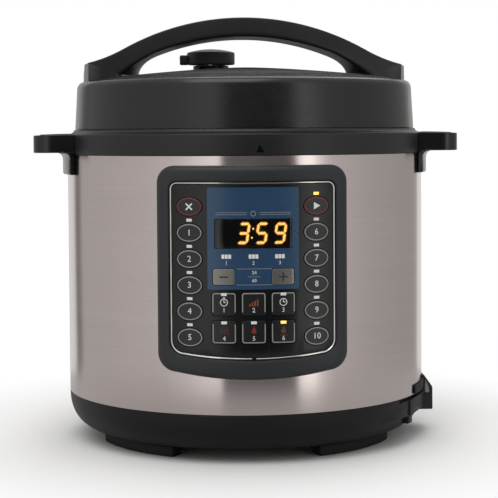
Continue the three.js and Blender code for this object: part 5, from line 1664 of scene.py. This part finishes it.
# ---- pots and what is below them
@dataclass
class Pots:
    """The inner pot, the pressed outer pot, and the parts that heat, sense and drive."""

    bench: Bench
    inner_r: float = 110.0
    inner_wall: float = 1.2
    inner_low: float = 73.0
    inner_high: float = 231.1
    inner_corner: float = 12.0
    rim_r: float = 119.0
    rim_wall: float = 1.8
    outer_r: float = 113.5
    outer_wall: float = 2.0
    outer_low: float = 50.0
    stem_r: float = 4.35
    flange_z: float = 226.0
    flange_wall: float = 3.0
    flange_r: float = 121.5
    lug_r: float = 125.5
    lug_count: int = 6
    lug_span: float = 24.0
    spring_r: float = 8.0
    spring_wire_r: float = 0.8
    spring_turns: int = 4
    spring_steps: int = 28
    sensor_travel: float = 1.5

    def build(self) -> None:
        """Builds both pots and dresses the parts below them."""
        self.inner()
        self.outer()
        self.spring()
        dress = self.bench.dress
        dress(CAST_ALUMINIUM, "heating_plate")
        dress(SPUN_ALUMINIUM, "thermal_sensor")
        dress(DISPLAY_BLACK, "pressure_switch")
        dress(SLEEVE, "thermal_fuse")
        dress(BOARD_GREEN, "power_board")

    def spring(self) -> None:
        """Winds the coil spring below the sensor, which shortens as the sensor goes down."""
        wire, turns, steps = self.spring_wire_r, self.spring_turns, self.spring_turns * self.spring_steps
        low, high = (corner.z for corner in self.bench.box("sensor_spring"))
        mesh = bmesh.new()
        bmesh.ops.create_circle(mesh, cap_ends=True, segments=10, radius=wire)
        bmesh.ops.rotate(mesh, verts=mesh.verts, matrix=Matrix.Rotation(math.pi / 2, 3, "X"))
        bmesh.ops.translate(mesh, verts=mesh.verts, vec=(self.spring_r, 0, low + wire))
        bmesh.ops.spin(
            mesh, geom=list(mesh.faces) + list(mesh.edges) + list(mesh.verts), axis=(0, 0, 1),
            dvec=(0, 0, (high - low - 2 * wire) / steps), angle=2 * math.pi * turns, steps=steps,
        )
        made = self.bench.piece("sensor_coil", settled(mesh), SPRING_WIRE, "spring_steel", "sensor_spring")
        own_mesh(made)

    def inner(self) -> None:
        """Turns the inner pot with its round corner and rolled rim."""
        wall, low = self.inner_wall, self.inner_low
        outside = self.corner(self.inner_corner, low)
        inside = self.corner(self.inner_corner - wall, low + wall)[::-1]
        under = self.inner_high - self.rim_wall
        rim = rounded([
            (self.inner_r, under - 6, 0), (self.inner_r, under, 1.5), (self.rim_r, under, 0.7),
            (self.rim_r, self.inner_high, 0.8), (self.inner_r - wall, self.inner_high, 2.2),
            (self.inner_r - wall, under - 6, 0),
        ], closed=False)
        mesh = turned([(0, low), *outside, *rim, *inside, (0, low + wall)])
        self.bench.piece("cooking_pot", mesh, SPUN_STEEL, "pot_steel", "inner_pot", body="inner_pot")

    def corner(self, radius: float, low: float) -> list[Point]:
        """Returns the round between the inner pot's floor and its wall."""
        middle, turns = self.inner_r - self.inner_corner, quarter(CORNER_STEPS)
        return [(middle + radius * math.sin(t), low + radius * (1 - math.cos(t))) for t in turns]

    def outer(self) -> None:
        """Turns the outer pot and joins its locking lugs."""
        out, low, wall = self.outer_r + self.outer_wall, self.outer_low, self.outer_wall
        top = self.flange_z + self.flange_wall
        profile = rounded([
            (self.stem_r, low, 0), (out, low, 8), (out, self.flange_z, 1.0),
            (self.flange_r, self.flange_z, 0), (self.flange_r, top, 0.8), (self.outer_r, top, 1.2),
            (self.outer_r, low + wall, 6), (self.stem_r, low + wall, 0),
        ])
        lug = band(self.flange_r - 2, self.lug_r, self.flange_z, top)
        mesh = carved(turned(profile), *ring_of_lugs(lug, self.lug_count, self.lug_span), operation="UNION")
        self.bench.piece("pressed_outer_pot", mesh, SPUN_ALUMINIUM, "aluminium", "outer_pot")


# ---- lid
@dataclass
class Lid:
    """The lid's cover, the plate and seal below it, and the arched handle."""

    bench: Bench
    bottom_z: float = 238.0
    bottom_r: float = 132.0
    draft: float = 1.7
    side_z: float = 268.4
    shoulder_r: float = 126.0
    shoulder_rise: float = 6.0
    crown_r: float = 108.0
    crown_rise: float = 3.3
    dome_rise: float = 8.4
    dome_power: float = 1.4
    wall: float = 2.6
    valve: Point = (-25.0, 45.0)
    guard_r: float = 14.5
    guard_hole_r: float = 10.5
    guard_low: float = 276.0
    guard_top: float = 289.3
    guard_edge: float = 0.8
    float_at: Point = (12.0, 48.0)
    float_hole_r: float = 4.75
    boss_r: float = 8.0
    boss_low: float = 254.8
    screw_r: float = 3.5
    screw_top: float = 271.1
    groove_out: float = 0.9
    groove_run: float = 0.5
    groove_depth: float = 0.7
    foot_edge: float = 0.4
    pipe_r: float = 4.8
    pin_r: float = 2.75
    cut_low: float = 200.0
    cut_inside: float = 240.0
    cut_high: float = 300.0
    plate_z: float = 240.0
    plate_wall: float = 2.5
    plate_flat_r: float = 106.0
    plate_dome: float = 12.0
    plate_rim_r: float = 128.5
    plate_rim_wall: float = 2.2
    bayonet: Spot = (121.85, 221.5, 225.5)
    bayonet_count: int = 6
    bayonet_span: float = 24.0
    pad_r: float = 13.0
    pad_z: float = 247.0
    seal: tuple[float, float, float, float] = (112.0, 124.8, 231.4, 239.7)
    seal_lip: float = 3.0
    rack: tuple[float, float, float, float] = (107.9, 111.7, 234.1, 239.7)

    def build(self) -> None:
        """Builds the lid from the outside in."""
        self.cover()
        self.plate()
        self.seal_ring()
        dress = self.bench.dress
        dress(SPUN_STEEL, "lid_screw", "anti_block_cap", "vent_pipe", "float_pin")
        dress(SILICONE, "float_gasket")

    def height(self, r: float) -> float:
        """Returns the height of the lid's top at a radius inside the crown."""
        crown = self.side_z + self.shoulder_rise + self.crown_rise
        return crown + self.dome_rise * (1 - (r / self.crown_r) ** self.dome_power)

    def surface(self, r: float) -> float:
        """Returns the height of the lid's outside at any radius up to the shoulder."""
        if r <= self.crown_r:
            return self.height(r)
        share = min(1.0, (r - self.crown_r) / (self.shoulder_r - self.crown_r))
        return self.side_z + self.shoulder_rise + self.crown_rise * (1 - share)

    def curve(self, inset: float) -> list[Point]:
        """Returns the lid's outside from its bottom edge to the axis, moved inwards by an inset."""
        spread, rise = self.bottom_r - self.draft - self.shoulder_r, self.shoulder_rise - inset
        middle, turns = self.shoulder_r - inset, quarter(CORNER_STEPS)
        corner = [(middle + spread * math.cos(t), self.side_z + rise * math.sin(t)) for t in turns]
        dome = [(r, self.height(r) - inset) for r in (self.crown_r * (1 - i / 20) for i in range(21))]
        return [(self.bottom_r - inset, self.bottom_z), *corner, *dome]

    def at(self, place: Point, mesh: Mesh) -> Mesh:
        """Moves a mesh from the axis to a place on the lid."""
        return moved(mesh, (*place, 0))

    def bar(self, radius: float, low: float, high: float) -> Mesh:
        """Returns a round bar about the axis."""
        return turned([(0, low), (radius, low), (radius, high), (0, high)], SMALL_ROUND)

    def cover(self) -> None:
        """Turns the cover, with a fine groove between shoulder and top, and cuts its holes."""
        outside, inside = self.curve(0.0), self.curve(self.wall)
        groove, depth = self.crown_r + self.groove_out, self.groove_depth
        at = next(i for i, (r, z) in enumerate(outside) if r < self.crown_r + WELD and z > self.side_z + 3)
        rim = [
            (groove + self.groove_run, self.surface(groove + self.groove_run)),
            (groove, self.surface(groove) - depth), (self.crown_r, self.height(self.crown_r) - depth),
        ]
        edge = self.foot_edge
        foot = [(self.bottom_r - edge, self.bottom_z), (self.bottom_r, self.bottom_z + edge)]
        mesh = turned([*foot, *outside[1:at], *rim, *outside[at:], *reversed(inside)])
        # The top takes the grained finish. The shoulder and side keep the smooth one, whose lighter colour is
        # painted sheen.
        for face in mesh.faces:
            middle = face.calc_center_median()
            face.material_index = int(middle.xy.length < self.crown_r and middle.z > self.side_z)
        guard = softened(self.bar(self.guard_r, self.guard_low, self.guard_top), self.guard_edge)
        boss = self.bar(self.boss_r, self.boss_low, self.height(0) - 1)
        mesh = carved(mesh, self.at(self.valve, guard), boss, operation="UNION")
        mesh = carved(
            mesh, self.at(self.valve, self.bar(self.guard_hole_r, self.cut_inside, self.cut_high)),
            self.at(self.float_at, self.bar(self.float_hole_r, self.cut_inside, self.cut_high)),
            self.bar(self.screw_r, self.cut_inside, self.screw_top),
        )
        finishes = (LID_SMOOTH_SHEEN, LID_GRAINED)
        self.bench.piece("lid_shell", mesh, finishes, "black_plastic", "lid_cover", body="lid")

    def plate(self) -> None:
        """Turns the pressed plate below the cover, with its rim, lugs and holes."""
        steps, wall = 16, self.plate_wall
        below = [
            (self.plate_flat_r * i / steps, self.plate_z + self.plate_dome * (1 - (i / steps) ** 2))
            for i in range(steps + 1)
        ]
        rim_in = self.plate_rim_r - self.plate_rim_wall
        lug_in, lug_low, lug_high = self.bayonet
        shell = turned([
            *below, (rim_in, self.plate_z), (rim_in, lug_low), (self.plate_rim_r, lug_low),
            (self.plate_rim_r, self.plate_z + wall - 1), (self.plate_rim_r - 1, self.plate_z + wall),
            *[(r, z + wall) for r, z in reversed(below)],
        ])
        count, span = self.bayonet_count, self.bayonet_span
        lugs = ring_of_lugs(band(lug_in, rim_in + 1, lug_low, lug_high), count, span, 180 / count)
        places = (self.valve, self.float_at)
        low, top = self.pad_z, self.pad_z + wall
        pads = [self.at(place, self.bar(self.pad_r, low, top)) for place in places]
        mesh = carved(shell, *lugs, *pads, operation="UNION")
        clear = [(self.cut_low, low), (top, self.cut_high)]
        rooms = [self.at(place, self.bar(self.pad_r, *ends)) for ends in clear for place in places]
        mesh = carved(mesh, *rooms, self.bar(self.screw_r, self.cut_low, self.cut_high))
        holes = [self.bar(radius, self.cut_low, self.cut_high) for radius in (self.pipe_r, self.pin_r)]
        mesh = carved(mesh, *[self.at(place, hole) for place, hole in zip(places, holes)])
        self.bench.piece("lid_pressed_plate", mesh, SPUN_ALUMINIUM, "aluminium", "lid_plate", body="lid")

    def seal_ring(self) -> None:
        """Turns the silicone seal of C section, and the wire rack that holds it."""
        near, far, low, high = self.seal
        lip = self.seal_lip
        seal = rounded([
            (near, low, 1.0), (far, low, 1.4), (far, high, 1.4), (near, high, 1.0), (near, high - lip, 1.0),
            (far - lip, (high + low) / 2, 1.0), (near, low + lip, 1.0),
        ], 3)
        rack = rounded([(r, z, 1.2) for r, z in band(*self.rack)], 4)
        piece = self.bench.piece
        piece("seal_lip_ring", turned(seal), SILICONE, "silicone", "sealing_ring", body="lid_seal")
        piece("seal_wire_rack", turned(rack), SPUN_STEEL, "pot_steel", "seal_rack", body="lid_seal")


@dataclass
class Arch:
    """The arched handle across the lid."""

    bench: Bench
    lid: Lid
    top_z: float = 323.4
    top_r: float = 184.7
    thickness: float = 14.5
    under_r: float = 188.7
    shoulder_x: float = 92.0
    ease: float = 16.0
    reach: float = 123.4
    end_z: float = 286.6
    foot_r: float = 125.0
    gap_half: float = 83.0
    gap_corner: float = 15.0
    front_half: float = 95.0
    plan_r: float = 125.2
    mid_half: float = 26.0
    end_half: float = 40.0
    edge: float = 0.9
    curl: float = 3.6
    turn: float = -0.8
    tilt: float = 0.55
    steps: int = 22
    ease_steps: int = 18
    foot_steps: int = 5
    wide_steps: int = 9
    edge_steps: int = 2
    sink: float = 1.6
    heel: float = 1.5
    seat: float = 0.4
    front_shift: Point = (2.0, 3.0)

    def crest(self, radius: float, top: float, half: float) -> list[Vector]:
        """Returns a shallow round from the handle's middle to a distance from it."""
        turns = [math.asin(half / radius) * i / self.steps for i in range(self.steps + 1)]
        return [Vector((radius * math.sin(t), top - radius + radius * math.cos(t))) for t in turns]

    def line(self, first: list[Vector], bend: Vector, end: Vector, foot: Vector) -> list[Vector]:
        """Runs a crest on round a bend to its end, and from there straight to the foot."""
        second = eased(first[-1], bend, end, self.ease_steps)[1:]
        shares = [i / self.foot_steps for i in range(1, self.foot_steps + 1)]
        return first + second + [end.lerp(foot, share) for share in shares]

    def top_line(self) -> list[Vector]:
        """Returns the right half of the handle's top from its middle to the foot."""
        first = self.crest(self.top_r, self.top_z, self.shoulder_x)
        drop = math.tan(math.asin(self.shoulder_x / self.top_r)) * self.ease
        bend = Vector((self.shoulder_x + self.ease, first[-1].y - drop))
        foot = Vector((self.foot_r, self.lid.surface(self.foot_r) - self.sink))
        return self.line(first, bend, Vector((self.reach, self.end_z)), foot)

    def under_line(self, half: float, bend: Vector) -> list[Vector]:
        """Returns the right half of the underside, to an end at the given x, from its middle to the foot."""
        top, floor = self.top_z - self.thickness, self.lid.surface(half) - self.sink
        first = self.crest(self.under_r, top, self.gap_half - self.gap_corner)
        return self.line(first, bend, Vector((half, floor + self.heel)), Vector((half, floor)))

    def half_depth(self, x: float) -> float:
        """Returns half the handle's depth at an x value: it is waisted in the middle."""
        return self.mid_half + (self.end_half - self.mid_half) * min(1.0, abs(x) / self.reach) ** 2

    def section(self, top: Vector, front: Vector, rear: Vector) -> list[Vector]:
        """Returns one closed section across the handle.

        Args:
            top: x and z of its top.
            front: x and z of its lower edge at the front.
            rear: x and z of its lower edge at the rear.

        Returns:
            The section's points.
        """
        half = self.half_depth(top.x)
        thick = max((top - front).length, 1e-3)
        most = thick / 2.2
        across = []
        spots = [(-1, 1, self.edge), (1, 1, self.edge), (1, 0, self.curl), (-1, 0, self.curl)]
        corners = [(Vector((side * half, level * thick)), min(reach, most)) for side, level, reach in spots]
        for i, (here, reach) in enumerate(corners):
            (before, _), (after, next_reach) = corners[i - 1], corners[(i + 1) % 4]
            start = here + (before - here).normalized() * reach
            end = here + (after - here).normalized() * reach
            across += eased(start, here, end, 4)
            far = after + (here - after).normalized() * next_reach
            inner = self.edge_steps if i % 2 else self.wide_steps
            across += [end.lerp(far, j / (inner + 1)) for j in range(1, inner + 1)]
        points = []
        for p in across:
            side = p.x / half
            low = front.lerp(rear, (side + 1) / 2)
            spot = low.lerp(top, p.y / thick)
            y = side * self.half_depth(spot.x)
            limit = math.sqrt(max(self.plan_r**2 - y**2, 0))
            points.append(Vector((max(-limit, min(limit, spot.x)), y, spot.y)))
        return points

    def build(self) -> None:
        """Skins the handle over its sections and seats its feet on the lid."""
        top = self.top_line()
        straight = self.gap_half - self.gap_corner
        turn = math.asin(straight / self.under_r)
        gap_z = self.top_z - self.thickness - self.under_r + self.under_r * math.cos(turn)
        corner = Vector((self.gap_half, gap_z - math.tan(turn) * self.gap_corner))
        out, down = self.front_shift
        rear = self.under_line(self.gap_half, corner)
        front = self.under_line(self.front_half, corner + Vector((out, -down)))
        right = [self.section(*spots) for spots in zip(top, front, rear)]
        left = [[Vector((-p.x, p.y, p.z)) for p in row] for row in reversed(right[1:])]
        rows = left + right
        for point in rows[0] + rows[-1]:
            under = self.lid.surface(min(point.xy.length, self.lid.shoulder_r))
            point.z = min(point.z, under - self.seat)
        mesh = moved(skinned(rows), azimuth=self.turn)
        middle = Vector((0, 0, self.end_z))
        lean = Matrix.Rotation(math.radians(self.tilt), 4, "Y")
        mesh.transform(Matrix.Translation(middle) @ lean @ Matrix.Translation(-middle))
        self.bench.piece("lid_arch", mesh, HANDLE_BLACK, "black_plastic", "lid_handle", body="lid")


@dataclass
class Valve:
    """The knob of the steam valve."""

    bench: Bench
    place: Point
    radius: float = 19.4
    low: float = 290.3
    side: float = 9.7
    dome: float = 2.9
    socket_r: float = 4.85
    socket_depth: float = 7.0
    edge: float = 1.0
    facets: int = 72
    crown_steps: int = 12
    tab_reach: float = 25.3
    tab_width: float = 14.0
    tab_height: float = 7.6
    tab_edge: float = 1.2

    def build(self) -> None:
        """Turns the knob with its shallow dome, and joins the tab that turns it."""
        low, high, half = self.low, self.low + self.side, self.tab_width / 2
        shares = [1 - i / self.crown_steps for i in range(1, self.crown_steps + 1)]
        crown = [(self.radius * share, high + self.dome * (1 - share**2)) for share in shares]
        side = rounded([
            (self.socket_r, low, 0), (self.radius, low, self.edge), (self.radius, high, self.edge),
            (*crown[0], 0),
        ], 4, closed=False)
        floor = low + self.socket_depth
        knob = turned([(0, floor), (self.socket_r, floor), *side, *crown[1:]], self.facets)
        tab = block((-self.tab_reach, -half, low), (1 - self.radius, half, low + self.tab_height))
        mesh = carved(knob, softened(tab, self.tab_edge, 3), operation="UNION")
        mesh, node = moved(mesh, (*self.place, 0)), "valve_knob"
        self.bench.piece("valve_turning_knob", mesh, KNOB_BLACK, "black_plastic", node, body=node)


# ---- studio
# How bright the walls round the object are, at angles in degrees about the upright axis: 0 is straight
# ahead of the panel and a positive angle is to the viewer's right.
WALLS = [
    (-180, 0.2), (-173, 0.25), (-168, 0.72), (-152, 0.82), (-147, 0.75), (-142, 0.22), (-136, 0.25),
    (-131, 0.52), (-100, 0.56), (-65, 0.62), (-50, 0.68), (-40, 0.78), (-29, 0.98), (-18, 1.12),
    (-16, 0.1), (26, 0.09), (30, 0.2), (32, 1.35), (36, 1.6), (41, 1.6), (45, 1.1), (49, 0.82),
    (55, 0.62), (84, 0.5), (136, 0.4), (144, 0.45), (148, 0.85), (168, 0.72), (173, 0.25), (180, 0.2),
]


@dataclass(frozen=True)
class Lamp:
    """A square lamp that looks at the middle of the object."""

    name: str
    place: Spot
    size: float
    power: float

    def hang(self, target: Vector) -> None:
        """Puts the lamp in the scene.

        Args:
            target: the point that it looks at, in metres.
        """
        data = bpy.data.lights.new(self.name, "AREA")
        data.size, data.energy = self.size, self.power
        made = linked(self.name, data)
        made.location = Vector(self.place) * MM
        made.rotation_mode = "QUATERNION"
        made.rotation_quaternion = (target - made.location).to_track_quat("-Z", "Y")


@dataclass
class Studio:
    """The camera, the lamps, the plain surroundings and the floor."""

    bench: Bench
    distance: float = 1200.0
    turn: float = -0.0408
    eye: float = 235.06
    pitch: float = 0.0439
    roll: float = -0.0067
    lens: float = 110.24
    sensor: float = 36.0
    shift: Point = (0.00853, -0.0992)
    clip: Point = (0.05, 50.0)
    lamp_front: Lamp = Lamp("lamp_front", (-300, -900, 1500), 1.2, 9.0)
    lamp_back: Lamp = Lamp("lamp_back", (250, 700, 1300), 1.0, 5.0)
    lamp_target: Point = (0.0, 0.15)
    wall_tint: Spot = (1.0, 0.985, 0.965)
    sky: Colour = (0.75, 0.76, 0.78, 1)
    sky_from: Point = (0.3, 0.75)
    floor_r: float = 330.0
    floor_fade: Point = (0.165, 0.325)
    floor_colour: str = "#f2f1ef"
    floor_mirrored: str = "#bebcba"

    def build(self) -> None:
        """Sets the camera, the world, the lamps and the floor."""
        self.camera()
        self.world()
        for lamp in (self.lamp_front, self.lamp_back):
            lamp.hang(Vector((0, *self.lamp_target)))
        self.floor()
        bpy.context.scene.view_settings.view_transform = "Standard"

    def camera(self) -> None:
        """Places the camera in front of the panel, slightly to its left."""
        data = bpy.data.cameras.new("camera")
        data.lens, data.sensor_width = self.lens, self.sensor
        data.shift_x, data.shift_y = self.shift
        data.clip_start, data.clip_end = self.clip
        made = linked("camera", data)
        place = Vector((self.distance * math.sin(self.turn), -self.distance * math.cos(self.turn), self.eye))
        look = (
            Matrix.Rotation(self.turn, 4, "Z")
            @ Matrix.Rotation(math.pi / 2 - self.pitch, 4, "X")
            @ Matrix.Rotation(self.roll, 4, "Z")
        )
        made.matrix_world = Matrix.Translation(place * MM + self.bench.axis) @ look
        bpy.context.scene.camera = made

    def world(self) -> None:
        """Surrounds the object with pale walls, one dark opening and one bright strip."""
        world = bpy.data.worlds.new("studio_walls")
        bpy.context.scene.world = world
        tree = emptied(world)
        way = add(tree, "TexCoord").outputs["Generated"]
        parts = add(tree, "SeparateXYZ", {"Vector": way})
        low, high = self.sky_from
        ends = {"Value": parts.outputs["Z"], "From Min": low, "From Max": high}
        height = add(tree, "MapRange", ends).outputs["Result"]
        sky = add(tree, "Background", {"Color": self.sky})
        side = add(tree, "Background", {"Color": self.walls(tree, parts)})
        lit = add(tree, "MixShader", {0: height, 1: side.outputs[0], 2: sky.outputs[0]})
        white = add(tree, "Background", {"Color": WHITE})
        seen = add(tree, "LightPath").outputs["Is Camera Ray"]
        both = add(tree, "MixShader", {0: seen, 1: lit.outputs[0], 2: white.outputs[0]})
        add(tree, "OutputWorld", {"Surface": both.outputs[0]})

    def walls(self, tree: Tree, parts: bpy.types.Node) -> Socket:
        """Adds the nodes that give the colour of the walls.

        Args:
            tree: the node tree of the world.
            parts: the node that splits the direction looked in into X, Y and Z.

        Returns:
            The output that gives the colour.
        """
        x, y = parts.outputs["X"], parts.outputs["Y"]
        ahead = add(tree, "Math", {0: y, 1: -1.0}, operation="MULTIPLY").outputs[0]
        turn = add(tree, "Math", {0: x, 1: ahead}, operation="ARCTAN2").outputs[0]
        ends = {"Value": turn, "From Min": -math.pi, "From Max": math.pi}
        share = add(tree, "MapRange", ends).outputs["Result"]
        walls = add(tree, "ValToRGB", {"Fac": share})
        stops = walls.color_ramp.elements
        for angle, _ in WALLS[1:-1]:
            stops.new((angle + 180) / 360)
        for stop, (_, level) in zip(stops, WALLS):
            stop.color = (*(level * part for part in self.wall_tint), 1)
        return walls.outputs["Color"]

    def floor(self) -> None:
        """Lays a pale floor that keeps the shadow and fades into the white around it."""
        mesh = bmesh.new()
        bmesh.ops.create_circle(mesh, cap_ends=True, segments=ROUND, radius=self.floor_r)
        data = bpy.data.meshes.new("floor")
        mesh.transform(Matrix.Scale(MM, 4))
        mesh.to_mesh(data)
        mesh.free()
        made = linked("floor", data)
        material = bpy.data.materials.new("floor_white_laminate")
        tree = emptied(material)
        here = add(tree, "TexCoord").outputs["Object"]
        reach = add(tree, "VectorMath", {0: here}, operation="LENGTH")
        near, far = self.floor_fade
        ends = {"Value": reach.outputs["Value"], "From Min": near, "From Max": far}
        fade = add(tree, "MapRange", ends)
        plain = add(tree, "BsdfDiffuse", {"Color": linear(self.floor_colour)})
        white = add(tree, "Emission", {"Color": WHITE})
        seen = add(tree, "LightPath").outputs["Is Camera Ray"]
        share = add(tree, "Math", {0: seen, 1: fade.outputs["Result"]}, operation="MULTIPLY")
        dim = add(tree, "BsdfDiffuse", {"Color": linear(self.floor_mirrored)})
        gloss = add(tree, "LightPath").outputs["Is Glossy Ray"]
        lit = add(tree, "MixShader", {0: gloss, 1: plain.outputs[0], 2: dim.outputs[0]})
        both = add(tree, "MixShader", {0: share.outputs[0], 1: lit.outputs[0], 2: white.outputs[0]})
        add(tree, "OutputMaterial", {"Surface": both.outputs[0]})
        data.materials.append(material)


def main() -> None:
    """Builds the cooker's sub-assemblies in order, then the studio."""
    logging.basicConfig(level=logging.INFO, format="%(message)s")
    bench = Bench()
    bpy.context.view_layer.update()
    panel = Panel(bench)
    Housing(bench).build(panel.opening())
    Collar(bench).build()
    panel.build()
    Inlet(bench).build()
    Collector(bench).build()
    Pots(bench).build()
    lid = Lid(bench)
    lid.build()
    Arch(bench, lid).build()
    Valve(bench, lid.valve).build()
    Studio(bench).build()


if __name__ == "__main__":
    main()
